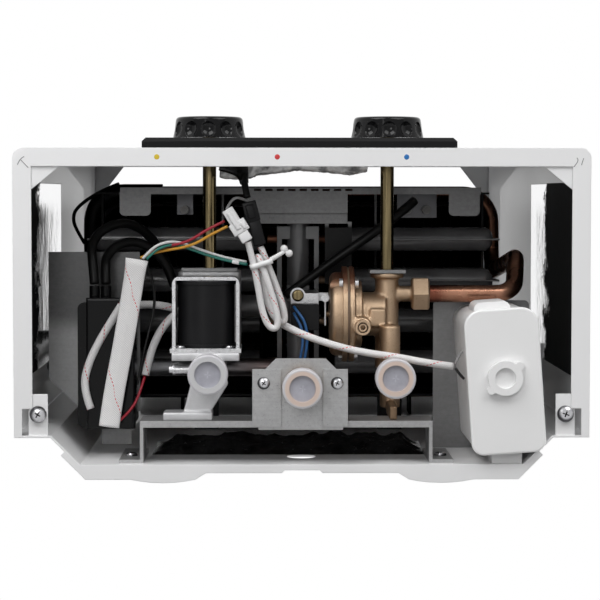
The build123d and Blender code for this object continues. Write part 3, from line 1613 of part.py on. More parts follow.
# Battery latch: winged disc under the lid, shaft, and a catch bar above it
latch_top_z = battery_low_z - lid_t - latch_gap
with BuildPart() as battery_latch:
    with BuildSketch(battery_plane.offset(latch_top_z - latch_t)):
        with Locations((0, latch_offset_y)):
            Circle(latch_r)
            with Locations(Rotation(0, 0, latch_lean)):
                SlotOverall(2 * latch_wing, latch_wing_w)
    extrude(amount=latch_t)
    with BuildSketch(battery_plane.offset(latch_top_z - latch_t)):
        with Locations((0, latch_offset_y)):
            Circle(latch_r - latch_dish)
    extrude(amount=latch_t - latch_web, mode=Mode.SUBTRACT)
    with BuildSketch(battery_plane.offset(latch_top_z)):
        with Locations((0, latch_offset_y)):
            Circle(latch_shaft_r)
    extrude(amount=lid_t + 2 * latch_gap)
    with BuildSketch(battery_plane.offset(battery_low_z + latch_gap)):
        with Locations((0, latch_offset_y)):
            SlotOverall(latch_bar, latch_bar_w)
    extrude(amount=latch_bar_t)
save(battery_latch, "battery_latch")

# Battery plate: carries the box from the back plate
with BuildPart() as battery_plate:
    cut_x = battery_plate_right - battery_plate_cut
    with BuildSketch(Plane.XY.offset(battery_top_z)) as plate_plan:
        with BuildLine():
            Polyline(
                (battery_plate_left, panel_front_y),
                (battery_plate_left, battery_plate_front_y),
                (battery_plate_right, battery_plate_front_y),
                (battery_plate_right, panel_front_y - battery_plate_cut),
                (cut_x, panel_front_y),
                close=True,
            )
        make_face()
        fillet(plate_plan.vertices().group_by(Axis.Y)[0], battery_plate_r)
    extrude(amount=battery_plate_t)
    block(
        (battery_plate_left, panel_front_y - battery_plate_t, battery_top_z),
        (cut_x, panel_front_y, battery_top_z + battery_flange_h),
    )
save(battery_plate, "battery_plate")

# Carrier bar: angle strip with a lip, two legs and two feet on the back plate
carrier_top_z = carrier_low_z + carrier_h
with BuildPart() as bracket_bar:
    block((bar_left, bar_front_y, carrier_low_z), (bar_right, bar_front_y + carrier_t, carrier_top_z))
    block(
        (bar_left, bar_front_y, carrier_low_z),
        (bar_right, bar_front_y + carrier_lip, carrier_low_z + carrier_t),
    )
    for side, leg_x in ((-1, bar_left), (1, bar_right - carrier_t)):
        block((leg_x, bar_front_y, carrier_low_z), (leg_x + carrier_t, panel_front_y, carrier_top_z))
        foot_low = min(leg_x, leg_x + side * foot_w)
        block(
            (foot_low, panel_front_y - carrier_t, carrier_low_z),
            (foot_low + foot_w + carrier_t, panel_front_y, carrier_low_z + foot_h),
        )
save(bracket_bar, "bracket_bar")

# Screws of the hot bracket and the two feet
with BuildPart() as bracket_screws:
    for side in (-1, 1):
        head = (hot_screw_mid + side * hot_screw_x, hot_screw_y, hot_plate_low_z - hot_wing_t)
        bar(head, (0, 0, -1), small_screw_head_r, small_screw_head_h)
    for foot_x in (bar_left - foot_w / 2, bar_right + foot_w / 2):
        bar(
            (foot_x, panel_front_y - carrier_t, carrier_low_z + foot_screw_z),
            (0, -1, 0),
            small_screw_head_r,
            small_screw_head_h,
        )
save(bracket_screws, "bracket_screws")

# Harness sleeves: one wide flat sleeve and three thin ones
flat_route = [(-95.6, -127.1, 26.0), (-102.0, -85.8, 26.0), (-110.1, -45.1, 26.0), (-112.1, -29.4, 26.0)]
left_route = [
    (-105.4, -99.9, 37.3),
    (-116.0, -83.5, 37.3),
    (-124.8, -66.6, 37.2),
    (-128.3, -51.3, 37.0),
    (-123.6, -39.0, 36.6),
]
mid_route = [
    (-68.0, -99.0, 48.6),
    (-75.7, -92.9, 48.5),
    (-81.4, -87.0, 48.0),
    (-86.0, -79.0, 47.0),
    (-89.6, -69.0, 45.6),
    (-92.0, -58.0, 44.0),
]
short_route = [(-97.4, -98.8, 57.0), (-86.5, -99.9, 57.4), (-76.0, -97.0, 57.0)]
with BuildPart() as harness_sleeves:
    with BuildLine() as flat_line:
        FilletPolyline(*flat_route, radius=cord_radii(flat_route))
    with BuildSketch(Plane(origin=flat_route[0], x_dir=(0, 0, 1), z_dir=flat_line.line % 0)):
        RectangleRounded(flat_sleeve_t, flat_sleeve_w, flat_sleeve_edge)
    sweep()
    cord("left sleeve", left_route, thin_sleeve_r)
    cord("mid sleeve", mid_route, thin_sleeve_r)
    cord("short sleeve", short_route, thin_sleeve_r)
save(harness_sleeves, "harness_sleeves")

# Wire hank: one unbroken tube, two long loops that fan out below the tie, in two layers
hank_top_z = hank_low_z + hank_layer
hank_route = [
    (-31.2, -137.2, hank_low_z),
    (-27.4, -124.5, hank_low_z),
    (-21.4, -87.3, hank_low_z),
    (-10.9, -87.3, hank_low_z),
    (-24.2, -128.5, hank_low_z),
    (-26.5, -128.5, hank_top_z),
    (-17.2, -90.6, hank_top_z),
    (-5.3, -90.6, hank_top_z),
    (-23.9, -134.5, hank_top_z),
]
hank_radii = [60.0, 4.55, 4.55, 3.45, 3.45, 5.0, 5.0]
with BuildPart() as wire_hank:
    with BuildLine() as hank_line:
        FilletPolyline(*hank_route, radius=hank_radii)
    with BuildSketch(Plane(origin=hank_line.line @ 0, z_dir=hank_line.line % 0)):
        Circle(hank_r)
    sweep()
sample_count = 240
skip_count = 12
spots = [hank_line.line @ (i / sample_count) for i in range(sample_count + 1)]
near = min(
    (here - there).length
    for i, here in enumerate(spots)
    for there in spots[i + skip_count:]
)
print("hank least gap to itself", round(near - 2 * hank_r, 2), "arc radii", hank_radii)
save(wire_hank, "wire_hank")

# Main sleeve from behind the hank, under the water valve, to the battery box
main_route = [
    (-15.0, -91.0, 33.6),
    (-3.0, -84.6, 29.0),
    (10.0, -80.0, 23.5),
    (25.0, -75.6, 20.6),
    (40.0, -72.6, 20.0),
    (56.0, -70.6, 20.0),
    (72.0, -67.2, 20.2),
    (88.0, -65.2, 20.0),
]
with BuildPart() as main_sleeve:
    cord("main sleeve", main_route, main_sleeve_r)
save(main_sleeve, "main_sleeve")

# Black leads: two from the controller's glands, one across to the front crossbar
lead_start_y = box_front_y - gland_len - gland_gap
lead_routes = (
    [
        (gland_xs[1], lead_start_y, gland_z),
        (-116.6, -120.5, 59.8),
        (-116.4, -127.6, 64.6),
        (-110.4, -134.2, 69.5),
        (-101.5, -136.6, 74.0),
        (-93.0, -134.0, 78.0),
        (-85.8, -128.2, 81.0),
        (-80.0, -120.0, 83.0),
        (-76.6, -109.0, 83.0),
    ],
    [
        (gland_xs[0], lead_start_y, gland_z),
        (-124.0, -123.5, 60.0),
        (-125.4, -133.6, 64.0),
        (-121.5, -141.5, 70.0),
        (-114.0, -146.2, 76.0),
        (-105.6, -147.6, 82.0),
        (-97.6, -144.2, 89.0),
        (-90.6, -137.6, 97.0),
        (-85.0, -128.0, 107.0),
        (-81.4, -117.5, 118.0),
        (-80.0, -111.0, 129.0),
        (-80.0, -110.0, 136.4),
    ],
)
diagonal_route = [
    (-9.0, -103.0, 84.0),
    (16.0, -121.5, 82.5),
    (42.0, -139.5, 81.0),
    (62.0, -154.2, 84.0),
    (70.0, -161.0, 89.0),
]
display_route = [
    (-31.5, -163.0, hank_top_z + 0.4),
    (-33.0, -169.5, hank_top_z + 2.5),
    (-33.8, -177.0, hank_top_z + 7.6),
    (-33.8, -182.5, control_z - module_h / 2 - display_lead_gap),
]
with BuildPart() as black_leads:
    for i, route in enumerate(lead_routes):
        cord(f"controller lead {i + 1}", route, lead_r)
    cord("diagonal lead", diagonal_route, diagonal_r)
    cord("display lead", display_route, display_lead_r)
save(black_leads, "black_leads")

# Plug connectors at the upper end of the hank
with BuildPart() as plug_connectors:
    for end, turn, steps in (
        (hank_route[0], -32.0, ((7.2, 0.0, 22.0), (10.4, 1.0, 12.0))),
        (hank_route[-1], -15.0, ((8.6, 0.0, 28.0),)),
    ):
        plane = Plane(
            origin=Vector(*end) - Vector(0, 0, plug_h / 2),
            x_dir=Vector(1, 0, 0).rotate(Axis.Z, turn),
            z_dir=(0, 0, 1),
        )
        with BuildSketch(plane):
            for width, shift, length in steps:
                with Locations((shift, -length / 2 - plug_gap)):
                    Rectangle(width, length)
        extrude(amount=plug_h)
save(plug_connectors, "plug_connectors")

# Thin wires: at the flat sleeve, the hank, the flow switch and the battery box
wire_routes = {
    "red wire": [
        (-44.6, -149.4, 20.4),
        (-55.0, -144.4, 21.6),
        (-63.2, -138.8, 22.8),
        (-70.0, -136.3, 23.6),
        (-78.0, -134.8, 24.2),
        (-87.4, -133.0, 25.6),
        (-96.6, -128.1, 26.6),
    ],
    "orange wire": [
        (-42.8, -146.4, 20.2),
        (-52.6, -141.6, 21.2),
        (-60.6, -136.6, 22.2),
        (-68.8, -133.9, 23.0),
        (-77.4, -132.6, 23.6),
        (-86.4, -130.4, 24.2),
        (-93.0, -127.7, 24.8),
    ],
    "white wire": [
        (-92.1, -127.6, 27.4),
        (-89.0, -131.0, 28.0),
        (-84.2, -135.2, 28.6),
        (-76.6, -137.6, 29.0),
        (-69.6, -137.0, 29.2),
        (-61.8, -134.4, 29.2),
        (-51.0, -130.8, 29.0),
        (-40.6, -128.0, 28.2),
        (-32.0, -126.5, 26.6),
    ],
    "green wire": [
        (-89.8, -127.3, 27.2),
        (-86.8, -130.4, 27.8),
        (-82.6, -133.6, 28.4),
        (-76.2, -135.4, 28.8),
        (-70.0, -134.8, 29.0),
        (-62.4, -132.1, 29.0),
        (-51.8, -128.5, 28.4),
        (-41.2, -125.8, 27.0),
        (-31.6, -124.2, 24.6),
    ],
    "upper blue wire": [
        (-4.2, -98.4, 43.6),
        (-3.6, -97.6, 40.2),
        (-1.0, -94.6, 38.4),
        (2.2, -89.6, 37.6),
        (3.6, -82.0, 37.2),
        (3.0, -73.0, 37.0),
        (1.2, -64.6, 37.0),
    ],
    "lower blue wire": [
        (-4.2, -94.6, 43.6),
        (-3.9, -94.0, 41.0),
        (-2.2, -91.0, 39.4),
        (0.2, -86.4, 38.4),
        (1.0, -80.0, 37.6),
        (0.2, -72.0, 37.0),
        (-1.4, -64.6, 37.0),
    ],
    "red joint wire": [
        (-92.4, -57.2, 43.8),
        (-95.2, -47.0, 39.0),
        (-100.0, -38.0, 33.6),
        (-107.4, -31.6, 29.4),
    ],
    "thin black wire": [
        (-91.6, -126.8, 31.6),
        (-89.0, -119.6, 38.6),
        (-87.2, -112.0, 45.4),
        (-86.6, -103.0, 49.8),
        (-87.6, -94.6, 51.0),
        (-90.4, -83.0, 50.6),
        (-92.8, -73.0, 49.6),
        (-95.0, -62.0, 48.6),
        (-97.0, -52.0, 48.0),
    ],
    "battery grey wire": [
        (89.2, -66.5, 20.4),
        (90.4, -70.4, 20.6),
        (93.2, -74.0, 20.8),
    ],
    "battery black wire": [
        (89.2, -64.2, 20.0),
        (91.4, -60.6, 20.2),
        (94.4, -57.8, 20.4),
    ],
}
with BuildPart() as thin_wires:
    for name, route in wire_routes.items():
        cord(name, route, wire_r)
save(thin_wires, "thin_wires")

# Cable ties: one round the hank with a knobbed tail, one loop of strap under the chamber's pipe
tie_half_h = hank_layer / 2 + hank_r + tie_gap
strap_z = wrap_z + 2 * wrap_rise
strap_route = [
    (-122.2, wrap_front_y - 6.8, strap_z - 0.4),
    (-134.5, -167.0, strap_z - 9.0),
    (-150.5, -155.5, strap_z - 12.0),
    (-153.0, -147.5, strap_z - 9.0),
    (-150.5, -139.6, strap_z - 5.0),
    (wrap_left_x - 5.9, -131.0, strap_z - 1.6),
]
with BuildPart() as cable_ties:
    ring_plane = Plane(
        origin=(hank_tie_x, hank_tie_y, (hank_low_z + hank_top_z) / 2),
        x_dir=Vector(1, 0, 0).rotate(Axis.Z, hank_lean),
        z_dir=Vector(0, 1, 0).rotate(Axis.Z, hank_lean),
    )
    with BuildSketch(ring_plane):
        RectangleRounded(2 * (hank_tie_half_w + tie_t), 2 * (tie_half_h + tie_t), hank_r + tie_t)
        RectangleRounded(2 * hank_tie_half_w, 2 * tie_half_h, hank_r, mode=Mode.SUBTRACT)
    extrude(amount=tie_w / 2, both=True)
    tail_start = Vector(-18.0, -127.0, hank_low_z + 1.0)
    knobs = (Vector(-10.2, -133.4, hank_low_z + 2.0), Vector(-7.3, -130.7, hank_low_z + 2.0))
    tail_end = (knobs[0] + knobs[1]) / 2
    bar(tail_start, tail_end - tail_start, tie_t, (tail_end - tail_start).length)
    for knob in knobs:
        with Locations(knob):
            Sphere(tie_knob_r)
    cord("strap", strap_route, tie_t)
save(cable_ties, "cable_ties")
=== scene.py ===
# %% [markdown]
# # A tankless gas water heater, seen from below
#
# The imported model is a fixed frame: the wall is the plane Y = 0, the front looks along -Y, up is +Z.
# It already holds every rigid piece at its real size. This script adds what gives the pieces their
# looks: finishes, wiring, cast and crumpled forms, screw heads, and a studio round the object.

# %% Load the frame
import math

import bmesh
import bpy
from mathutils import Matrix, Vector, noise


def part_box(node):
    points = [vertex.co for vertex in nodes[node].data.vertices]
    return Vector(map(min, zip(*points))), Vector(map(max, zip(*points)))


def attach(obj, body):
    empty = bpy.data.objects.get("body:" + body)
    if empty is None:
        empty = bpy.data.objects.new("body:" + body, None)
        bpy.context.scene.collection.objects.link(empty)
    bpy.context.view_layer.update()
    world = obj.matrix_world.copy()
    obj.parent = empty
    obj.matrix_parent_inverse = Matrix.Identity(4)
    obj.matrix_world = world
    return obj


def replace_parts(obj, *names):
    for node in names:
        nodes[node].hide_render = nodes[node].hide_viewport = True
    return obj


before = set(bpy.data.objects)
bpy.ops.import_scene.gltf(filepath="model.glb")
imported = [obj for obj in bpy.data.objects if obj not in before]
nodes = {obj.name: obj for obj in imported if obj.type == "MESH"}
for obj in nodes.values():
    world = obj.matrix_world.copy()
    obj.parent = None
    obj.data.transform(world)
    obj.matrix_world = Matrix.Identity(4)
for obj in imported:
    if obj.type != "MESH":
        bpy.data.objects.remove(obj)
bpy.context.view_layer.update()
MM = 0.001

# %% [markdown]
# ## Writing node trees as expressions
#
# A finish is easier to read as `grain * 0.1 + 0.4` than as boxes and wires.
# `Val` wraps one socket and adds a Math node for each operator. `Tree.node` makes any other node
# from its type, its settings and its socket values. Materials and Geometry Nodes both use it.


# %% Values and trees
class Val:
    """A socket of a node tree that can stand in a sum, a product or a comparison."""

    def __init__(self, tree, socket):
        self.tree = tree
        self.socket = socket

    def maths(self, operation, first, second):
        return self.tree.node("ShaderNodeMath", {"operation": operation}, {0: first, 1: second})

    def __add__(self, other):
        return self.maths("ADD", self, other)

    def __sub__(self, other):
        return self.maths("SUBTRACT", self, other)

    def __rsub__(self, other):
        return self.maths("SUBTRACT", other, self)

    def __mul__(self, other):
        return self.maths("MULTIPLY", self, other)

    def __gt__(self, other):
        return self.maths("GREATER_THAN", self, other)

    def __lt__(self, other):
        return self.maths("LESS_THAN", self, other)

    __radd__ = __add__
    __rmul__ = __mul__


class Tree:
    """A node tree that is filled by one method."""

    def __init__(self, tree):
        self.tree = tree

    def node(self, kind, settings=None, sockets=None, out=0):
        made = self.tree.nodes.new(kind)
        for key, value in (settings or {}).items():
            setattr(made, key, value)
        for key, value in (sockets or {}).items():
            if isinstance(value, Val):
                self.tree.links.new(value.socket, made.inputs[key])
            else:
                made.inputs[key].default_value = value
        if not made.outputs:
            return None
        return Val(self, made.outputs[out])


class Skin(Tree):
    """One material, with the few textures that the finishes share."""

    def __init__(self, name):
        self.material = bpy.data.materials.new(name)
        self.material.use_nodes = True
        super().__init__(self.material.node_tree)
        self.tree.nodes.clear()
        self.spot = self.node("ShaderNodeTexCoord", out="Object")

    def grain(self, size_mm, stretch=(1, 1, 1), detail=3.0, where=None):
        """Soft noise from 0 to 1, with features of about this size."""
        place = self.node("ShaderNodeMapping", {}, {"Vector": where or self.spot, "Scale": stretch})
        sockets = {"Vector": place, "Scale": 1 / (size_mm * MM), "Detail": detail}
        return self.node("ShaderNodeTexNoise", {}, sockets)

    def step(self, value, low, high):
        """A soft step from 0 at low to 1 at high."""
        sockets = {"Value": value, "From Min": low, "From Max": high}
        return self.node("ShaderNodeMapRange", {"interpolation_type": "SMOOTHSTEP"}, sockets)

    def blend(self, factor, low, high):
        """A colour between two others."""
        pair = [c if isinstance(c, Val) else (*c, 1.0) for c in (low, high)]
        return self.node("ShaderNodeMix", {"data_type": "RGBA"}, {0: factor, 6: pair[0], 7: pair[1]}, out=2)

    def part(self, axis, where=None):
        """One coordinate of the piece's own place, in metres."""
        return self.node("ShaderNodeSeparateXYZ", {}, {0: where or self.spot}, out=axis)

    def finish(self, height=None, depth_mm=0.1, round_mm=0.0, **sockets):
        """The shader itself, with a relief of this depth and edges rounded in the light."""
        values = {}
        for key, value in sockets.items():
            values[key.replace("_", " ").title().replace("Ior", "IOR")] = value
        if not isinstance(values["Base Color"], Val):
            values["Base Color"] = (*values["Base Color"], 1)
        normal = None
        if round_mm:
            normal = self.node("ShaderNodeBevel", {"samples": 4}, {"Radius": round_mm * MM})
        if height is not None:
            relief = {"Height": height, "Distance": depth_mm * MM, "Strength": 1.0}
            if normal is not None:
                relief["Normal"] = normal
            normal = self.node("ShaderNodeBump", {}, relief)
        if normal is not None:
            values["Normal"] = normal
        shader = self.node("ShaderNodeBsdfPrincipled", {}, values)
        self.node("ShaderNodeOutputMaterial", {}, {"Surface": shader})
        return self.material


# %% [markdown]
# ## The studio
#
# The heater hangs on a wall and is looked at from the floor, so the camera stands under it and looks up.
# The pale floor lies far below, so that every view from below still stands over it.
# The world is white for what the camera, metal and plastic see, and dimmer as a lamp, so that white
# enamel keeps its shading.

# %% Camera
scene = bpy.context.scene
scene.view_settings.view_transform = "Standard"

camera_spot = Vector((-18.2, -165.3, -1183.9)) * MM
camera_aim = Vector((0.01426, 0.05106, 0.9986)).normalized()
image_down = Vector((-0.0002, 0.9987, -0.0511))
camera_lens = 125.0
camera = bpy.data.objects.new("photo_camera", bpy.data.cameras.new("photo_camera"))
camera.data.lens = camera_lens
camera.data.sensor_width = 36.0
image_right = image_down.cross(camera_aim).normalized()
image_up = camera_aim.cross(image_right) * -1
turn = Matrix((image_right, image_up, -camera_aim)).transposed()
camera.matrix_world = Matrix.Translation(camera_spot) @ turn.to_4x4()
scene.collection.objects.link(camera)
scene.camera = camera
print("camera at", [round(x, 3) for x in camera.location])


# %% World, floor and lamps
def in_view(tree):
    """1 for the rays that show the background: what the camera, a mirror or glass sees."""
    kinds = ("Is Camera Ray", "Is Glossy Ray", "Is Transmission Ray")
    straight, mirrored, through = [tree.node("ShaderNodeLightPath", out=kind) for kind in kinds]
    return straight + mirrored + through > 0.5


ambient = 0.2
world = bpy.data.worlds.new("white_studio")
world.use_nodes = True
world.node_tree.nodes.clear()
sky = Tree(world.node_tree)
strength = ambient + in_view(sky) * (1.0 - ambient)
shell = sky.node("ShaderNodeBackground", {}, {"Color": (1, 1, 1, 1), "Strength": strength})
sky.node("ShaderNodeOutputWorld", {}, {"Surface": shell})
scene.world = world

floor_z = -3.2
floor_half = 5.0
bpy.ops.mesh.primitive_grid_add(
    x_subdivisions=2, y_subdivisions=2, size=2 * floor_half, location=(0, 0, floor_z))
floor = bpy.context.object
floor.name = "pale_floor"
floor_glow = 0.34
pale = Skin("pale_floor")
matt = pale.node("ShaderNodeBsdfDiffuse", {}, {"Color": (0.80, 0.80, 0.80, 1)})
shine = pale.node("ShaderNodeEmission", {}, {"Strength": in_view(pale) * floor_glow})
both = pale.node("ShaderNodeAddShader", {}, {0: matt, 1: shine})
pale.node("ShaderNodeOutputMaterial", {}, {"Surface": both})
floor.data.materials.append(pale.material)

look_at = Vector((0, -100, 60)) * MM
lamps = (
    ("left_box", (-800, -1700, -800), 1.2, 25.0),
    ("right_box", (800, -1400, -850), 1.0, 14.0),
    ("camera_lamp", (-330, -420, -1150), 0.35, 2.2),
    ("side_box", (1700, 900, 700), 1.4, 24.0),
    ("back_box", (-1300, 1500, 600), 1.4, 30.0),
)
for name, spot, size, power in lamps:
    lamp = bpy.data.objects.new(name, bpy.data.lights.new(name, "AREA"))
    lamp.data.size = size
    lamp.data.energy = power
    lamp.location = Vector(spot) * MM
    lamp.rotation_euler = (look_at - lamp.location).to_track_quat("-Z", "Y").to_euler()
    scene.collection.objects.link(lamp)
print("lamps", len(lamps), "floor at", floor_z)

# %% [markdown]
# ## Painted, plated and moulded finishes
#
# Each finish is the real surface in a few lines: a colour that drifts a little, a roughness that changes
# with it, and a relief of a few hundredths of a millimetre. Sheet edges are rounded in the light,
# because enamel and zinc always round them.


# %% Enamel, plastics and rubber
def white_enamel():
    skin = Skin("white_enamel")
    drift = skin.grain(60)
    colour = skin.blend(drift, (0.80, 0.80, 0.805), (0.845, 0.845, 0.85))
    peel = skin.grain(1.6, detail=1)
    return skin.finish(peel, 0.012, 0.7, base_color=colour, roughness=drift * 0.1 + 0.3, coat_weight=0.25)


def white_plastic():
    skin = Skin("white_plastic")
    drift = skin.grain(25)
    colour = skin.blend(drift, (0.80, 0.80, 0.80), (0.85, 0.85, 0.85))
    return skin.finish(skin.grain(0.9), 0.01, 0.5, base_color=colour, roughness=drift * 0.15 + 0.28)


def black_gloss():
    skin = Skin("black_gloss")
    dust = skin.step(skin.grain(0.7, detail=1), 0.72, 0.8)
    colour = skin.blend(dust, (0.004, 0.004, 0.0045), (0.03, 0.03, 0.03))
    rough = dust * 0.3 + 0.08
    return skin.finish(skin.grain(8), 0.02, 0.4, base_color=colour, roughness=rough, specular_ior_level=0.2)


def black_satin():
    skin = Skin("black_satin")
    drift = skin.grain(14)
    colour = skin.blend(drift, (0.003, 0.003, 0.0035), (0.008, 0.008, 0.009))
    rough = drift * 0.2 + 0.3
    relief = skin.grain(0.8)
    return skin.finish(relief, 0.02, 0.4, base_color=colour, roughness=rough, specular_ior_level=0.18)


def black_rubber():
    skin = Skin("black_rubber")
    drift = skin.grain(9)
    colour = skin.blend(drift, (0.004, 0.004, 0.004), (0.010, 0.010, 0.010))
    rough = drift * 0.2 + 0.24
    return skin.finish(skin.grain(1.2), 0.04, base_color=colour, roughness=rough, specular_ior_level=0.16)


def insulated(name, colour):
    """Smooth wire insulation or paint in one colour."""
    skin = Skin(name)
    drift = skin.grain(4)
    dull = [c * 0.75 for c in colour]
    return skin.finish(base_color=skin.blend(drift, dull, colour), roughness=drift * 0.15 + 0.3)


def dark_glass():
    skin = Skin("dark_glass")
    smear = skin.grain(18)
    return skin.finish(base_color=(0.004, 0.004, 0.005), roughness=smear * 0.08 + 0.04, coat_weight=0.5)


def frosted_cap(name, x, y, ring):
    """A milky plug: a grey disc over the bore, a ring tinted by the metal end behind it, a pale skirt."""
    skin = Skin(name)
    cloud = skin.grain(5)
    across = skin.part("X") - x * MM
    along = skin.part("Y") - y * MM
    reach = skin.node("ShaderNodeMath", {"operation": "SQRT"}, {0: across * across + along * along})
    angle = skin.node("ShaderNodeMath", {"operation": "ARCTAN2"}, {0: along, 1: across})
    rays = skin.node("ShaderNodeMath", {"operation": "SINE"}, {0: angle * 4.0 + cloud * 2.0})
    gate = skin.step(rays, 0.2, 1.0) * (1 - skin.step(reach, 0.6 * MM, 2.6 * MM))
    disc_edge, skirt_edge = (7.0 * MM, 7.8 * MM), (9.4 * MM, 10.6 * MM)
    disc = 1 - skin.step(reach, *disc_edge)
    skirt = skin.step(reach, *skirt_edge)
    middle = skin.blend(cloud * 0.7 + gate * 0.5, (0.30, 0.30, 0.345), (0.56, 0.56, 0.62))
    colour = skin.blend(disc, skin.blend(skirt, ring, (0.70, 0.69, 0.72)), middle)
    veil = 0.93 - skirt * 0.2
    return skin.finish(skin.grain(0.6), 0.02, base_color=colour, roughness=cloud * 0.2 + 0.26, alpha=veil)


def glazed_ceramic():
    """Glazed rods, coloured dark grey; the small sheet plates that hold them are plain steel."""
    skin = Skin("glazed_ceramic")
    drift = skin.grain(6)
    height = skin.part("Z")
    plate_low, plate_high, edge = 133.8 * MM, 135.3 * MM, 0.1 * MM
    above = skin.step(height, plate_low, plate_low + edge)
    plate_band = above * (1 - skin.step(height, plate_high, plate_high + edge))
    rods = skin.blend(drift, (0.10, 0.10, 0.095), (0.30, 0.29, 0.27))
    colour = skin.blend(plate_band, rods, (0.10, 0.10, 0.105))
    return skin.finish(base_color=colour, roughness=drift * 0.2 + 0.25, metallic=plate_band * 0.9)


# %% [markdown]
# ## Metals
#
# Galvanised plate shows a fine speckle and a faint brushing, cast brass a sandy grain with darker pits,
# drawn copper long streaks of tarnish. Some finishes also carry painted shade, painted light and painted
# reflections, said where they are. The places of the stains and of the painted marks come from the object's
# own coordinates, so they stay where the photograph has them.


# %% Steel, foil and zinc
def zinc_sheet(name, dark, light, speck, painted_light_from=None, black_part=None):
    """Galvanised sheet between two greys, painted paler from a Y on as painted light, or sooty beyond a Y
    and a half width.
    """
    skin = Skin(name)
    spangle = skin.grain(2.2, detail=4)
    brush = skin.grain(1.0, (0.06, 1, 1), detail=2)
    tone = spangle * 0.7 + brush * 0.3
    specks = skin.step(skin.grain(0.7, detail=2), 0.62, 0.72) * speck
    plain = skin.blend(tone, (dark,) * 3, (light, light, light * 1.01))
    colour = skin.blend(specks, plain, (0.04, 0.04, 0.04))
    if painted_light_from is not None:
        # Painted light: from this Y on, the sheet is painted paler, as where light falls on it.
        painted_light = skin.step(skin.part("Y"), painted_light_from * MM, (painted_light_from + 16) * MM)
        colour = skin.blend(painted_light, colour, skin.blend(tone, (0.22, 0.22, 0.22), (0.38, 0.38, 0.38)))
    if black_part is not None:
        aside = skin.node("ShaderNodeMath", {"operation": "ABSOLUTE"}, {0: skin.part("X")})
        behind = skin.step(skin.part("Y"), black_part[0] * MM, (black_part[0] + 3) * MM)
        beside = skin.step(aside, black_part[1] * MM, (black_part[1] + 2) * MM)
        grey_part = (1 - behind) * (1 - beside)
        colour = skin.blend(grey_part, (0.012, 0.012, 0.012), colour)
    return skin.finish(tone, 0.02, 0.25, base_color=colour, roughness=tone * 0.25 + 0.33, metallic=0.85)


def hood_sheet():
    """Painted near black up to the hood's shoulder, as painted shade and dark reflection; the collar above
    stays grey.
    """
    skin = Skin("hood_sheet")
    cloud = skin.grain(18, detail=4)
    # Painted shade and dark reflection: below the shoulder the sheet is painted near black and dull.
    grey_part = skin.step(skin.part("Z") + cloud * 0.02, 0.52, 0.545)
    black_part = skin.blend(cloud, (0.003, 0.003, 0.003), (0.012, 0.011, 0.011))
    colour = skin.blend(grey_part, black_part, skin.blend(cloud, (0.24, 0.24, 0.245), (0.46, 0.46, 0.465)))
    rough = cloud * 0.2 + 0.4
    return skin.finish(cloud, 0.03, 0.3, base_color=colour, roughness=rough, metallic=grey_part * 0.85)


def bright_steel():
    skin = Skin("bright_steel")
    spangle = skin.grain(1.4, detail=4)
    pits = skin.step(skin.grain(0.8), 0.66, 0.76)
    colour = skin.blend(spangle, (0.42, 0.42, 0.43), (0.80, 0.80, 0.81))
    rough = spangle * 0.2 + pits * 0.2 + 0.2
    return skin.finish(spangle, 0.03, 0.3, base_color=colour, roughness=rough, metallic=0.95)


def chrome_screw():
    """Plated heads with painted reflection and painted shade: bright in the middle, painted darker towards
    the edge and on one side, and nearly black in the cross.
    """
    skin = Skin("chrome_screw")
    uv = skin.node("ShaderNodeTexCoord", out="UV")
    across = skin.part("X", uv)
    along = skin.part("Y", uv)
    reach = skin.node("ShaderNodeMath", {"operation": "SQRT"}, {0: across * across + along * along})
    haze = skin.grain(1.2)
    # Painted reflection: the head darkens towards its rim, more on one side.
    edge = skin.step(reach + across * 0.25 + haze * 0.2, 0.62, 1.05)
    # Painted shade: the cross recess is painted nearly black.
    cross = across > 1.5
    tone = skin.blend(edge, (0.66, 0.66, 0.68), (0.07, 0.07, 0.075))
    colour = skin.blend(cross, tone, (0.02, 0.02, 0.02))
    return skin.finish(base_color=colour, roughness=haze * 0.12 + 0.14, metallic=1 - cross * 0.6)


def cast_alloy():
    skin = Skin("cast_alloy")
    cloud = skin.grain(7)
    sand = skin.grain(0.5, detail=2)
    colour = skin.blend(cloud * 0.6 + sand * 0.4, (0.36, 0.36, 0.37), (0.66, 0.66, 0.67))
    return skin.finish(sand, 0.06, 0.4, base_color=colour, roughness=sand * 0.2 + 0.4, metallic=0.75)


def black_steel():
    skin = Skin("black_steel")
    cloud = skin.grain(20)
    sand = skin.grain(0.6, detail=2)
    colour = skin.blend(cloud, (0.08, 0.08, 0.082), (0.20, 0.20, 0.205))
    rough = cloud * 0.1 + 0.18
    return skin.finish(sand, 0.02, 0.6, base_color=colour, roughness=rough, specular_ior_level=0.8)


def yellow_zinc():
    skin = Skin("yellow_zinc")
    streak = skin.grain(1.5, (1, 0.05, 1), detail=3)
    cloud = skin.grain(9)
    colour = skin.blend(streak, (0.04, 0.031, 0.014), (0.38, 0.30, 0.16))
    pits = skin.step(skin.grain(0.7), 0.62, 0.74)
    worn = skin.blend(pits * 0.7, colour, (0.03, 0.025, 0.02))
    return skin.finish(streak, 0.02, base_color=worn, roughness=cloud * 0.12 + 0.12, metallic=1.0)


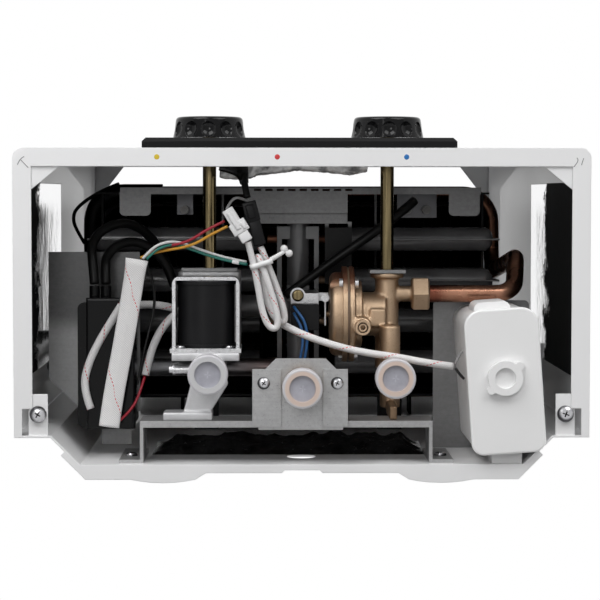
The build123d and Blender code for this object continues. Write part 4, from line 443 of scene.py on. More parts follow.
def crinkled_foil():
    """Bright foil with a painted dark reflection along its lower edge: a dull black band, further up on the
    right.
    """
    skin = Skin("crinkled_foil")
    crease = skin.grain(1.6, (1, 1, 0.22), detail=5)
    haze = skin.grain(6)
    ragged = skin.grain(14, (1, 1, 0.5), detail=6) * 0.09 + skin.grain(1.2, (1, 1, 0.3)) * 0.03
    band_top, edge_top, right_rise = 0.165, 0.185, 0.065
    right_side = skin.part("X") > 0
    # Painted reflection: below a ragged line the foil is painted dull black, as the dark inside of the case
    # mirrored in it.
    above_painted_reflection = skin.step(skin.part("Z") + ragged - right_side * right_rise, band_top, edge_top)
    colour = skin.blend(above_painted_reflection, (0.012, 0.012, 0.012), (0.86, 0.86, 0.87))
    rough = haze * 0.08 + 0.7 - above_painted_reflection * 0.65
    return skin.finish(
        crease, 0.005, base_color=colour, roughness=rough, metallic=above_painted_reflection, specular_ior_level=0.2)


def crumpled_wrap(name, dark, light, shine):
    """Thin wrapping that mirrors in small facets, with a colour that runs from dark to light."""
    skin = Skin(name)
    crease = skin.grain(3.0, detail=3)
    tone = skin.step(skin.grain(9, detail=3), 0.34, 0.52)
    colour = skin.blend(tone, dark, light)
    return skin.finish(crease, 0.16, base_color=colour, roughness=crease * 0.2 + 0.14, metallic=shine)


# %% Brass and copper
def cast_brass():
    skin = Skin("cast_brass")
    sand = skin.grain(0.55, detail=2)
    cloud = skin.grain(9, detail=4)
    pits = skin.step(skin.grain(1.1, detail=2), 0.62, 0.72)
    brass = skin.blend(cloud * 0.6 + sand * 0.4, (0.34, 0.235, 0.15), (0.60, 0.445, 0.31))
    brass = skin.blend(pits * 0.3, brass, (0.24, 0.15, 0.07))
    across, along = skin.part("X"), skin.part("Y")
    reddened = skin.step(along * -1 + skin.grain(5) * 0.016, 0.114, 0.126)
    flux = reddened * skin.step(across * -1, -0.046, -0.036)
    colour = skin.blend(flux * 0.75, brass, (0.20, 0.045, 0.02))
    # The valve is darker towards the wall, from Y = -42 mm back, left of X = 64 mm.
    foot = skin.step(along, -0.056, -0.042) * (1 - skin.step(across, 0.062, 0.066))
    colour = skin.blend(foot * 0.7, colour, (0.09, 0.05, 0.025))
    rough = sand * 0.18 + pits * 0.1 + 0.38
    return skin.finish(sand, 0.07, 0.4, base_color=colour, roughness=rough, metallic=0.95)


def drawn_copper():
    skin = Skin("drawn_copper")
    streak = skin.grain(2.0, (0.15, 1, 1), detail=4)
    cloud = skin.grain(12, detail=4)
    copper = skin.blend(cloud * 0.6 + streak * 0.4, (0.25, 0.09, 0.05), (0.70, 0.39, 0.26))
    across, height = skin.part("X"), skin.part("Z")
    burnt = skin.step(across * -1 + cloud * 0.01, -0.087, -0.074)
    copper = skin.blend(burnt * 0.8, copper, (0.13, 0.025, 0.015))
    aged = skin.step(height, 0.09, 0.2)
    copper = skin.blend(aged * 0.55, copper, (0.13, 0.05, 0.03))
    # Painted shade: leftwards from X = 30 mm the pipes fade to near black above Z = 160 mm; below Z = 120 mm
    # they turn silver grey instead.
    dark = skin.step(across * -1, -0.03, 0.06)
    low = 1 - skin.step(height, 0.12, 0.16)
    tinned = skin.blend(streak, (0.10, 0.10, 0.105), (0.34, 0.34, 0.35))
    colour = skin.blend(dark, copper, skin.blend(low, (0.006, 0.0055, 0.0055), tinned))
    rough = cloud * 0.22 + dark * 0.05 + 0.17
    shine = 1 - dark * (0.9 - low * 0.8)
    return skin.finish(streak, 0.02, base_color=colour, roughness=rough, metallic=shine)


def sooted_copper():
    skin = Skin("sooted_copper")
    cloud = skin.grain(10, detail=4)
    low = skin.step(skin.part("Z"), 0.335, 0.42)
    copper = skin.blend(cloud, (0.16, 0.06, 0.035), (0.42, 0.2, 0.12))
    black_part = skin.blend(cloud, (0.002, 0.002, 0.002), (0.006, 0.005, 0.005))
    colour = skin.blend(low, black_part, copper)
    rough = cloud * 0.2 + 0.5
    return skin.finish(
        cloud, 0.03, base_color=colour, roughness=rough, metallic=low * 0.6, specular_ior_level=0.1)


# %% [markdown]
# ## Dressing the frame
#
# Nodes whose shape is right keep their CAD mesh and only take a finish.

# %% Finishes on the CAD nodes
enamel = white_enamel()
plastic = white_plastic()
gloss = black_gloss()
satin = black_satin()
rubber = black_rubber()
frame_zinc = zinc_sheet("frame_zinc_sheet", 0.09, 0.22, 0.4, black_part=(-147.0, 113.0))
# The controller plate carries painted light: it is painted paler from Y = -94 mm on.
plate_zinc = zinc_sheet("plate_zinc_sheet", 0.07, 0.15, 0.3, painted_light_from=-94.0)
mid_zinc = zinc_sheet("mid_zinc_sheet", 0.17, 0.30, 0.12)
pale_zinc = zinc_sheet("pale_zinc_sheet", 0.28, 0.50, 0.35)
bright = bright_steel()
chrome = chrome_screw()
alloy = cast_alloy()
black_iron = black_steel()
zinc = yellow_zinc()
foil = crinkled_foil()
# Painted reflection: the silver wrap shines little, and its dark and light patches are painted in for the
# mirroring of the crinkled film.
silver_wrap = crumpled_wrap("silver_wrap", (0.30, 0.30, 0.305), (1.0, 1.0, 1.0), shine=0.1)
black_wrap = crumpled_wrap("black_wrap", (0.004, 0.004, 0.004), (0.035, 0.035, 0.036), shine=0.85)
brass = cast_brass()
copper = drawn_copper()
seal_rubber = insulated("seal_rubber", (0.16, 0.105, 0.065))
warm_ring = (0.66, 0.53, 0.46)
pipe_ends = {"gas": (-53.5, -63.2), "hot": (0.0, -55.3), "cold": (52.6, -61.0)}
dressed = (
    (enamel, "front_cover back_plate"),
    (gloss, "control_strip gas_knob water_knob controller_box"),
    (dark_glass(), "display_window"),
    (zinc, "gas_rod water_rod switch_screw"),
    (bright, "solenoid_frame microswitch_bracket microswitch_lever solenoid_plunger gas_test_nipple"),
    (satin, "solenoid_coil microswitch"),
    (frosted_cap("gas_frosted_cap", *pipe_ends["gas"], (0.58, 0.58, 0.59)), "gas_cap"),
    (frosted_cap("hot_frosted_cap", *pipe_ends["hot"], warm_ring), "hot_cap"),
    (frosted_cap("cold_frosted_cap", *pipe_ends["cold"], warm_ring), "cold_cap"),
    (black_iron, "gas_manifold burner_bars"),
    (frame_zinc, "burner_frame"),
    (plate_zinc, "controller_plate"),
    (mid_zinc, "battery_plate spindle_plates"),
    (hood_sheet(), "flue_hood"),
    (pale_zinc, "hot_bracket bracket_bar"),
    (brass, "relief_nozzle union_nut hot_fitting injectors diaphragm_rod water_valve_cover"),
    (glazed_ceramic(), "electrodes"),
    (sooted_copper(), "fire_chamber fin_block"),
    (copper, "cold_pipe hot_pipe"),
    (seal_rubber, "diaphragm"),
    (plastic, "battery_box battery_lid battery_latch"),
    (bright, "water_valve_bolts"),
)


def wear(piece, material):
    """Give a piece one material."""
    piece.data.materials.clear()
    piece.data.materials.append(material)


for material, names in dressed:
    for name in names.split():
        wear(nodes[name], material)


def take_place(piece, body, slot, *stands_for):
    """Ride on a body and stand for CAD nodes. The slot is not used."""
    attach(piece, body)
    if stands_for:
        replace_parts(piece, *stands_for)
    return piece


def new_piece(name, mesh, material, smooth=True):
    """A mesh as an object at the origin, with one finish."""
    piece = bpy.data.objects.new(name, mesh)
    scene.collection.objects.link(piece)
    wear(piece, material)
    if smooth:
        mesh.polygons.foreach_set("use_smooth", [True] * len(mesh.polygons))
    return piece


def plain_mesh(piece):
    """The piece as its modifiers leave it, as a plain mesh."""
    graph = bpy.context.evaluated_depsgraph_get()
    return bpy.data.meshes.new_from_object(piece.evaluated_get(graph))


print("dressed", sum(len(names.split()) for _, names in dressed), "nodes")

# %% [markdown]
# ## Cast bodies
#
# A casting has no sharp edge: the pattern's corners are rounded and the sand rounds them again.
# A copy of the machined CAD body is merged, remeshed in small voxels and smoothed, which rounds every
# edge alike, and the sandy grain of its finish gives the skin. It stands for the CAD node.

# %% Remeshed castings
cast_voxel = 0.75 * MM
merge_gap = 0.01 * MM


def voxel_copy(node, voxel, rounds=0):
    """A merged copy of a CAD node, remeshed in voxels and smoothed so many times."""
    mesh = nodes[node].data.copy()
    work = bmesh.new()
    work.from_mesh(mesh)
    bmesh.ops.remove_doubles(work, verts=work.verts, dist=merge_gap)
    work.to_mesh(mesh)
    work.free()
    rough = bpy.data.objects.new("voxel_copy", mesh)
    scene.collection.objects.link(rough)
    remesh = rough.modifiers.new("voxels", "REMESH")
    remesh.mode = "VOXEL"
    remesh.voxel_size = voxel
    if rounds:
        smooth = rough.modifiers.new("soft", "SMOOTH")
        smooth.iterations = rounds
        smooth.factor = 0.5
    made = plain_mesh(rough)
    bpy.data.objects.remove(rough)
    return made


def casting(node, material, slot, rounds):
    """A soft-edged copy of a CAD node that stands for it."""
    made = voxel_copy(node, cast_voxel, rounds)
    piece = new_piece(f"cast_{node}", made, material)
    print("cast", node, len(made.polygons), "faces")
    return take_place(piece, "case", slot, node)


casting("water_valve_body", brass, "cast_brass", 5)
casting("gas_inlet", alloy, "cast_alloy", 5)
casting("gas_valve_body", alloy, "cast_alloy", 3)

# %% [markdown]
# ## Cords
#
# A cord's route is a short list of points. They are the control points of one NURBS line,
# so the cord bends smoothly and never shows its points. The tube is then skinned round that line with a
# UV map: U runs once round the cord and V is the distance along it in metres, which a woven sleeve needs.


# %% Lines and tubes
def smooth_line(points_mm):
    """The points of the NURBS line that a route's control points give, in metres."""
    curve = bpy.data.curves.new("route", "CURVE")
    curve.dimensions = "3D"
    spline = curve.splines.new("NURBS")
    spline.points.add(len(points_mm) - 1)
    for point, spot in zip(spline.points, points_mm):
        point.co = (*(Vector(spot) * MM), 1.0)
    spline.order_u = 3
    spline.use_endpoint_u = True
    spline.resolution_u = 14
    holder = bpy.data.objects.new("route", curve)
    scene.collection.objects.link(holder)
    mesh = plain_mesh(holder)
    line = [v.co.copy() for v in mesh.vertices]
    bpy.data.objects.remove(holder)
    return line


def line_length(line):
    return sum((b - a).length for a, b in zip(line, line[1:]))


def tube_mesh(name, line, section, hollow=0.0, up=Vector((0, 0, 1))):
    """A tube round a line. section gives half width and half height at a share of the length."""
    sides = 20
    total = line_length(line)
    mesh = bpy.data.meshes.new(name)
    work = bmesh.new()
    uv_map = work.loops.layers.uv.new("UVMap")
    rings, heights, walked, across = [], [], 0.0, None
    for i, here in enumerate(line):
        ahead = (line[min(i + 1, len(line) - 1)] - line[max(i - 1, 0)]).normalized()
        if across is None:
            across = ahead.cross(up).normalized()
        across = (across - ahead * across.dot(ahead)).normalized()
        over = across.cross(ahead)
        walked += (here - line[i - 1]).length if i else 0.0
        half_w, half_h = section(walked / total)
        ring = []
        for j in range(sides):
            angle = 2 * math.pi * j / sides
            flat = half_h / half_w
            bulge = abs(math.cos(angle)) ** (2 - flat) * math.copysign(1, math.cos(angle))
            ring.append(work.verts.new(here + across * half_w * bulge + over * half_h * math.sin(angle)))
        rings.append(ring)
        heights.append(walked)
    for i in range(len(rings) - 1):
        for j in range(sides):
            k = (j + 1) % sides
            face = work.faces.new((rings[i][j], rings[i][k], rings[i + 1][k], rings[i + 1][j]))
            corners = ((j, i), (j + 1, i), (j + 1, i + 1), (j, i + 1))
            for loop, (u, v) in zip(face.loops, corners):
                loop[uv_map].uv = (u / sides, heights[v])
    if hollow:
        wall_faces = list(work.faces)
        bmesh.ops.recalc_face_normals(work, faces=wall_faces)
        bmesh.ops.solidify(work, geom=wall_faces, thickness=hollow)
    else:
        for ring in (rings[0], rings[-1]):
            work.faces.new(ring)
        bmesh.ops.recalc_face_normals(work, faces=work.faces)
    work.to_mesh(mesh)
    work.free()
    return mesh


# %% [markdown]
# ## Woven glass sleeves
#
# The loom's wires run in white woven sleeving with a red tracer thread that spirals round it in dashes.
# Weave and tracer both follow the cord's own UV map, so they turn with it and stay at the real scale.


# %% Sleeve finish
def woven_sleeve(name, around, cell_mm, tracer_pitch, tracer_start, tracer_width, dash):
    """White weave with so many threads around, and a red thread that climbs one turn in its pitch."""
    skin = Skin(name)
    uv = skin.node("ShaderNodeTexCoord", out="UV")
    u = skin.part("X", uv)
    v = skin.part("Y", uv)
    warp = skin.node("ShaderNodeMath", {"operation": "SINE"}, {0: u * (2 * math.pi * around)})
    weft = skin.node("ShaderNodeMath", {"operation": "SINE"}, {0: v * (2 * math.pi / (cell_mm * MM))})
    weave = warp * weft * 0.5 + 0.5
    cloud = skin.grain(6)
    white = skin.blend(weave * 0.85 + cloud * 0.15, (0.46, 0.45, 0.45), (1.0, 0.99, 0.99))
    spiral = u + tracer_start + v * (1 / tracer_pitch)
    turns = skin.node("ShaderNodeMath", {"operation": "FRACT"}, {0: spiral})
    beat = skin.node("ShaderNodeMath", {"operation": "FRACT"}, {0: v * (1 / dash)})
    tracer = (turns < tracer_width) * (beat < 0.6)
    colour = skin.blend(tracer, white, (0.62, 0.03, 0.04))
    return skin.finish(weave, 0.14, base_color=colour, roughness=cloud * 0.1 + 0.6)


def round_section(radius_mm):
    return lambda share: (radius_mm * MM, radius_mm * MM)


thin_woven = woven_sleeve("thin_woven_sleeve", 14, 1.0, -26 * MM, 0.0, 0.04, 1.9 * MM)
flat_woven = woven_sleeve("flat_woven_sleeve", 26, 1.1, -60 * MM, 0.56, 0.016, 1.9 * MM)


# A stretch shorter than this, in metres or in widths, is a stub and not a free cord.
stub_length = 30.5 * MM
stub_widths = 6.1


def lay_cord(
    name, route, section, width_mm, material, slot, hollow=0.0, band=None
):
    """One cord along its route. A tag sits on band, given in shares."""
    line = smooth_line(route)
    if band:
        part = line[int(band[0] * len(line)):int(band[1] * len(line))]
        tag_mesh = tube_mesh(name + "_tag", part, round_section(0.7 * width_mm))
        tag = new_piece(name + "_tag", tag_mesh, plastic)
        take_place(tag, "case", "white_plastic")
    piece = new_piece(name, tube_mesh(name, line, section, hollow), material)
    take_place(piece, "case", slot)
    length = line_length(line)
    if length > max(stub_length, stub_widths * width_mm * MM):
        width_mm * MM
    print(name, round(length, 4), "m")
    return piece


# %% Sleeves, hank and main sleeve
def lay_sleeve(name, route, width_mm):
    """A limp round sleeve."""
    section = round_section(width_mm / 2)
    return lay_cord(name, route, section, width_mm, thin_woven, "woven_sleeve")


flat_route = [(-95.6, -127.1, 26.0), (-102.0, -85.8, 26.0), (-110.1, -45.1, 26.0), (-112.1, -29.4, 26.0)]
left_route = [
    (-105.4, -99.9, 37.3), (-116.0, -83.5, 37.3), (-124.8, -66.6, 37.2), (-128.3, -51.3, 37.0),
    (-123.6, -39.0, 36.6),
]
mid_route = [
    (-68.0, -99.0, 48.6), (-75.7, -92.9, 48.5), (-81.4, -87.0, 48.0), (-86.0, -79.0, 47.0),
    (-89.6, -69.0, 45.6), (-92.0, -58.0, 44.0),
]
short_route = [(-97.4, -98.8, 57.0), (-86.5, -99.9, 57.4), (-76.0, -97.0, 57.0)]


def flat_section(share):
    """A wide flat sleeve whose open top flares a little."""
    flare = 1.0 + 0.12 * max(0.0, 1.0 - share / 0.12) ** 2
    return 6.0 * flare * MM, 1.9 * flare * MM


sleeve_wall = 0.45 * MM
flat_width, thin_width = 12.0, 4.6
flat_piece = lay_cord(
    "flat_sleeve", flat_route, flat_section, flat_width, flat_woven, "woven_sleeve",
    sleeve_wall)
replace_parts(flat_piece, "harness_sleeves")
lay_sleeve("left_sleeve", left_route, thin_width)
lay_sleeve("mid_sleeve", mid_route, thin_width)
lay_sleeve("short_sleeve", short_route, thin_width)

hank_low, hank_top = 20.0, 27.0
hank_route = [
    (-31.2, -137.2, hank_low), (-27.4, -124.5, hank_low), (-21.4, -87.3, hank_low),
    (-10.9, -87.3, hank_low), (-24.2, -128.5, hank_low), (-26.5, -128.5, hank_top),
    (-17.2, -90.6, hank_top), (-5.3, -90.6, hank_top), (-23.9, -134.5, hank_top),
]
hank = lay_sleeve("wire_hank_sleeve", hank_route, 3.8)
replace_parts(hank, "wire_hank")

main_route = [
    (-15.0, -91.0, 33.6), (-3.0, -84.6, 29.0), (10.0, -80.0, 23.5), (25.0, -75.6, 20.6),
    (40.0, -72.6, 20.0), (56.0, -70.6, 20.0), (72.0, -67.2, 20.2), (88.0, -65.2, 20.0),
]
main = lay_sleeve("main_sleeve_woven", main_route, 4.2)
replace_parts(main, "main_sleeve")

# %% [markdown]
# ## Leads and wires
#
# Two thick leads rise from the controller box, a third crosses below the burner, and the thin
# wires of the loom fan out of the flat sleeve. Each has a route of its own, so that they cross each
# other in the order that the photograph shows.

# %% Black leads
gland_x, gland_pitch, gland_y, gland_z = -119.5, 6.8, -111.3, 58.0
lead_routes = {
    "controller_lead_a": [
        (gland_x + gland_pitch / 2, gland_y, gland_z), (-116.6, -120.5, 59.8), (-116.4, -127.6, 64.6),
        (-110.4, -134.2, 69.5), (-101.5, -136.6, 74.0), (-93.0, -134.0, 78.0), (-85.8, -128.2, 81.0),
        (-80.0, -120.0, 83.0), (-76.6, -109.0, 83.0),
    ],
    "controller_lead_b": [
        (gland_x - gland_pitch / 2, gland_y, gland_z), (-124.0, -123.5, 60.0), (-125.4, -133.6, 64.0),
        (-121.5, -141.5, 70.0), (-114.0, -146.2, 76.0), (-105.6, -147.6, 82.0), (-97.6, -144.2, 89.0),
        (-90.6, -137.6, 97.0), (-85.0, -128.0, 107.0), (-81.4, -117.5, 118.0), (-80.0, -111.0, 129.0),
        (-80.0, -110.0, 136.4),
    ],
    "diagonal_lead": [
        (-9.0, -103.0, 84.0), (16.0, -121.5, 82.5), (42.0, -139.5, 81.0), (62.0, -154.2, 84.0),
        (70.0, -161.0, 89.0),
    ],
    "display_lead": [
        (-31.5, -163.0, 27.4), (-33.0, -169.5, 29.5), (-33.8, -177.0, 34.6), (-33.8, -182.5, 43.7),
    ],
}
lead_widths = (5.8, 5.8, 5.6, 4.0)
for (name, route), width in zip(lead_routes.items(), lead_widths):
    lead = lay_cord(name, route, round_section(width / 2), width, rubber, "black_rubber")
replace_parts(lead, "black_leads")

# %% Thin wires
wire_routes = {
    "red_wire": [
        (-44.6, -149.4, 20.4), (-55.0, -144.4, 21.6), (-63.2, -138.8, 22.8), (-70.0, -136.3, 24.4),
        (-78.0, -134.8, 27.0), (-85.4, -132.4, 28.4), (-90.8, -128.4, 28.4),
    ],
    "orange_wire": [
        (-42.8, -146.4, 20.2), (-52.6, -141.6, 21.2), (-60.6, -136.6, 22.2), (-68.8, -133.9, 24.0),
        (-77.4, -132.6, 26.8), (-86.4, -130.8, 28.0), (-93.6, -127.9, 27.6),
    ],
    "white_wire": [
        (-92.1, -127.6, 24.6), (-89.0, -131.0, 24.2), (-84.2, -135.2, 24.2), (-76.6, -137.6, 25.4),
        (-69.6, -136.8, 27.6), (-61.8, -133.7, 28.8), (-51.0, -130.0, 28.6), (-40.6, -127.2, 27.6),
        (-32.0, -125.6, 26.2),
    ],
    "green_wire": [
        (-89.8, -127.3, 24.4), (-86.8, -130.4, 24.0), (-82.6, -133.6, 24.2), (-76.2, -135.6, 25.8),
        (-70.0, -135.0, 28.0), (-62.4, -132.1, 29.0), (-51.8, -128.5, 28.4), (-41.2, -125.8, 27.0),
        (-31.6, -124.2, 24.6),
    ],
    "upper_blue_wire": [
        (-4.2, -98.4, 43.6), (-3.6, -97.6, 40.2), (-1.0, -94.6, 38.4), (2.2, -89.6, 37.6),
        (3.6, -82.0, 37.2), (3.0, -73.0, 37.0), (1.2, -64.6, 37.0),
    ],
    "lower_blue_wire": [
        (-4.2, -94.6, 43.6), (-3.9, -94.0, 41.0), (-2.2, -91.0, 39.4), (0.2, -86.4, 38.4),
        (1.0, -80.0, 37.6), (0.2, -72.0, 37.0), (-1.4, -64.6, 37.0),
    ],
    "red_joint_wire": [
        (-92.4, -57.2, 43.8), (-95.2, -47.0, 39.0), (-100.0, -38.0, 33.6), (-107.4, -31.6, 29.4),
    ],
    "thin_black_wire": [
        (-91.6, -126.8, 31.6), (-89.0, -119.6, 38.6), (-87.2, -112.0, 45.4), (-86.6, -103.0, 49.8),
        (-87.6, -94.6, 51.0), (-90.4, -83.0, 50.6), (-92.8, -73.0, 49.6), (-95.0, -62.0, 48.6),
        (-97.0, -52.0, 48.0),
    ],
    "loop_grey_wire": [
        (-43.5, -156.0, 20.0), (-41.0, -161.5, 21.0), (-36.0, -163.5, 24.0), (-31.8, -160.8, 26.5),
    ],
    "battery_grey_wire": [(89.2, -66.5, 20.4), (90.4, -70.4, 20.6), (93.2, -74.0, 20.8)],
    "battery_black_wire": [(89.2, -64.2, 20.0), (91.4, -60.6, 20.2), (94.4, -57.8, 20.4)],
}
wire_width = 1.6
tag_band = (0.92, 0.965)
wire_colours = {
    "red": (0.42, 0.010, 0.03),
    "orange": (0.72, 0.34, 0.02),
    "white": (0.8, 0.8, 0.8),
    "green": (0.004, 0.17, 0.13),
    "blue": (0.012, 0.10, 0.29),
    "black": (0.008, 0.008, 0.008),
    "grey": (0.3, 0.3, 0.3),
}
skins = {name: insulated(f"{name}_insulation", colour) for name, colour in wire_colours.items()}
for name, route in wire_routes.items():
    colour = next(c for c in wire_colours if c in name)
    band = tag_band if name == "green_wire" else None
    section = round_section(wire_width / 2)
    wire = lay_cord(name, route, section, wire_width, skins[colour], "wire_skin", band=band)
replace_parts(wire, "thin_wires")

# %% [markdown]
# ## Crumpled foil
#
# The side walls are lined with bright foil. It is thin enough to crumple when it is pressed on by hand,
# so its mirror image breaks up along ragged edges. A fine grid is pushed in and out by folded noise,
# and given its thickness last.
# Along the foil's lower edge a dark reflection is painted into its colour.


# %% Foil shields
def crumple(spot, size_mm, seed):
    """Folded noise: sharp creases between flat facets, from 0 to 1."""
    place = spot / (size_mm * MM) + Vector((seed, 2 * seed, 0))
    return 1.0 - abs(noise.noise(place)) - 0.5 * abs(noise.noise(place * 2.3))


def thin_sheet(name, rows, columns, spot_of, thickness):
    """A grid whose points follow a rule of their two shares, from 0 to 1, with a thickness."""
    mesh = bpy.data.meshes.new(name)
    work = bmesh.new()
    grid = []
    for i in range(rows + 1):
        grid.append([work.verts.new(spot_of(i / rows, j / columns)) for j in range(columns + 1)])
    for i in range(rows):
        for j in range(columns):
            work.faces.new((grid[i][j], grid[i + 1][j], grid[i + 1][j + 1], grid[i][j + 1]))
    bmesh.ops.recalc_face_normals(work, faces=work.faces)
    bmesh.ops.solidify(work, geom=work.faces[:], thickness=thickness)
    if thickness < 0:
        bmesh.ops.reverse_faces(work, faces=work.faces)
    work.to_mesh(mesh)
    work.free()
    print(name, len(mesh.polygons), "faces")
    return mesh


low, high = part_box("side_shields")
foil_stand = 0.16 * MM
foil_gap = 0.5 * MM
foil_thick = 0.15 * MM


def foil_spot(side):
    """The rule of one side's foil: a share of its depth and a share of its height give a point."""
    wall_x = side * (high.x - foil_gap)

    def spot_of(deep, up):
        spot = Vector((0, low.y + (high.y - low.y) * deep, low.z + (high.z - low.z) * up))
        folds = 0.75 * crumple(spot, 46, side * 3.1) + 0.25 * crumple(spot, 9, side * 7.7)
        return Vector((wall_x - side * max(foil_stand * folds, 0.0), spot.y, spot.z))

    return spot_of


for side, name in ((-1, "left_foil"), (1, "right_foil")):
    mesh = thin_sheet(name, 170, 150, foil_spot(side), side * foil_thick)
    shield = take_place(new_piece(name, mesh, foil), "case", "bright_foil")
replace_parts(shield, "side_shields")

# %% [markdown]
# ## Wrapped display
#
# The display module behind the panel is wrapped in silver film, and the film's edge hangs out below the
# front rim, further at some places than at others. A remeshed copy of the module is pushed about by
# folded noise, and its rear edge is moved along a short line of given points.

# %% Film on the display module
hang_line = [
    (-60.0, 2.0), (-34.1, 4.0), (-25.3, 1.8), (-19.4, 0.6), (-0.5, -1.6), (11.3, -0.8), (30.2, 1.0),
    (36.1, -0.4), (60.0, -2.5),
]


def hang(x):
    """How far the wrapping's edge hangs out at this X, in mm."""
    for (x0, h0), (x1, h1) in zip(hang_line, hang_line[1:]):
        if x0 <= x <= x1:
            return h0 + (h1 - h0) * (x - x0) / (x1 - x0)
    return 0.0


def wrapped(node, name, material, slot, voxel_mm, depth_mm, size_mm):
    """A piece in a loose wrapping: a remeshed copy pushed about by folded noise."""
    made = voxel_copy(node, voxel_mm * MM)
    normals = [v.normal.copy() for v in made.vertices]
    middle = sum(v.co.y for v in made.vertices) / len(made.vertices)
    for vertex, normal in zip(made.vertices, normals):
        rear = max(0.0, min(1.0, (vertex.co.y - middle) / (4 * MM)))
        vertex.co += normal * (crumple(vertex.co, size_mm, 1.7) - 0.75) * depth_mm * MM
        vertex.co.y += rear * hang(vertex.co.x / MM) * MM
    return take_place(new_piece(name, made, material, smooth=False), "case", slot, node)


wrapped(
    "display_module", "wrapped_display", silver_wrap, "bright_foil",
    voxel_mm=1.0, depth_mm=3.0, size_mm=11)

# %% [markdown]
# ## Boot, insulation and seal
#
# Soft pieces close the gaps: a boot on the display lead, insulation on the bend of the wound pipe,
# packing between pipe and chamber, and crumpled black foil behind the burner, which is partly painted
# shade: a dark sheet where shade falls behind the carrier bar. A tube or a sheet that
# follows a rule is enough for each of them.


# %% Display boot and pipe insulation
def lay_tube(name, route, section, material, slot):
    """A closed tube along a route, which is no cord."""
    mesh = tube_mesh(name, smooth_line(route), section)
    print(name, len(mesh.polygons), "faces")
    return take_place(new_piece(name, mesh, material), "case", slot)


boot_route = [(-33.4, -171.6, 31.8), (-34.0, -176.0, 35.0), (-37.0, -180.4, 40.0), (-40.0, -183.4, 44.2)]


def boot_section(share):
    """A soft funnel that widens from the lead to the module."""
    return (2.6 + 7.4 * share ** 1.6) * MM, (2.6 + 2.2 * share ** 1.6) * MM


lay_tube("display_boot", boot_route, boot_section, black_wrap, "black_rubber")

bend_route = [
    (-92.0, -165.0, 248.8), (-95.1, -165.0, 248.9), (-139.7, -165.0, 250.0), (-139.7, -120.4, 252.3),
    (-139.7, -117.0, 252.5),
]
lay_tube("bend_insulation", bend_route, round_section(6.7), rubber, "black_rubber")

packing_route = [
    (124.6, -60.0, 246.0), (124.6, -140.0, 247.0), (124.6, -158.9, 247.4), (96.0, -158.9, 247.6),
    (0.0, -158.9, 249.6), (-104.0, -158.9, 251.2), (-131.2, -159.4, 252.4), (-131.2, -140.0, 253.0),
    (-131.2, -60.0, 256.0),
]


def packing_section(share):
    """Thin along the front wall, thicker round the corners and sides."""
    half = 1.5 + 2.0 * max(0.0, min(1.0, abs(share - 0.5) * 12 - 2.6))
    return half * MM, half * MM


lay_tube("pipe_packing", packing_route, packing_section, rubber, "black_rubber")

# %% Foil seal behind the burner
seal_left, seal_right, seal_low, seal_high = -88.0, 74.0, 44.0, 110.0
seal_back, seal_belly, seal_hem, seal_thick = -11.0, 10.5, 1 / 12, 0.1 * MM


def seal_spot(up, along):
    """A sheet that bulges forward between its hems, in folds."""
    flat = Vector((seal_left + (seal_right - seal_left) * along, 0, seal_low + (seal_high - seal_low) * up))
    belly = math.sin(math.pi * up) * min(1.0, min(along, 1 - along) / seal_hem)
    fold = crumple(flat * MM, 27, 5.3) * 0.85 + crumple(flat * MM, 9, 2.9) * 0.15
    return Vector((flat.x, seal_back - seal_belly * belly * max(fold, 0.0), flat.z)) * MM


# Painted shade: the black foil is partly real and partly a dark sheet standing in for the shade behind the
# carrier bar.
seal_mesh = thin_sheet("foil_seal", 60, 150, seal_spot, seal_thick)
take_place(new_piece("foil_seal", seal_mesh, black_wrap), "case", "bright_foil")

# %% [markdown]
# ## Screw heads
#
# Every screw here has a pan head with a cross recess. One head is turned and cut once, then a Geometry
# Nodes tree puts it on points that carry an aim and a size, which is how a repeated part is made once.


# %% Pan head with a cross recess
def pan_head():
    """A pan head of unit radius that looks along +Z, with a cross cut in it."""
    mesh = bpy.data.meshes.new("pan_head")
    work = bmesh.new()
    segments = 40
    profile = [(1.0, 0.0), (1.0, 0.12), (0.96, 0.28), (0.84, 0.43), (0.6, 0.54), (0.3, 0.59)]
    rings = []
    for radius, height in profile:
        ring = []
        for i in range(segments):
            angle = 2 * math.pi * i / segments
            ring.append(work.verts.new((radius * math.cos(angle), radius * math.sin(angle), height)))
        rings.append(ring)
    for a, b in zip(rings, rings[1:]):
        for i in range(segments):
            work.faces.new((a[i], a[(i + 1) % segments], b[(i + 1) % segments], b[i]))
    work.faces.new(rings[-1])
    work.faces.new(list(reversed(rings[0])))
    flat_map = work.loops.layers.uv.new("UVMap")
    for f in work.faces:
        for loop in f.loops:
            loop[flat_map].uv = loop.vert.co.xy
    work.to_mesh(mesh)
    work.free()
    head = bpy.data.objects.new("pan_head", mesh)
    cross = bpy.data.meshes.new("cross")
    work = bmesh.new()
    arm, thick, deep, middle = 0.52, 0.1, 0.36, 0.56
    for along, across in ((arm, thick), (thick, arm)):
        box = bmesh.ops.create_cube(work, size=2.0)
        for v in box["verts"]:
            taper_x, taper_y = (1.0, 1.0) if v.co.z > 0 else (0.35, 0.6)
            v.co = Vector((v.co.x * along * taper_x, v.co.y * across * taper_y, middle + v.co.z * deep))
    flat_map = work.loops.layers.uv.new("UVMap")
    for f in work.faces:
        for loop in f.loops:
            loop[flat_map].uv = (2.0, 0.0)
    work.to_mesh(cross)
    work.free()
    cutter = bpy.data.objects.new("cross", cross)
    for piece in (head, cutter):
        scene.collection.objects.link(piece)
    cut = head.modifiers.new("recess", "BOOLEAN")
    cut.object = cutter
    cut.solver = "EXACT"
    cut.use_self = True
    made = plain_mesh(head)
    for piece in (head, cutter):
        bpy.data.objects.remove(piece)
    holder = bpy.data.objects.new("pan_head_pattern", made)
    scene.collection.objects.link(holder)
    return holder


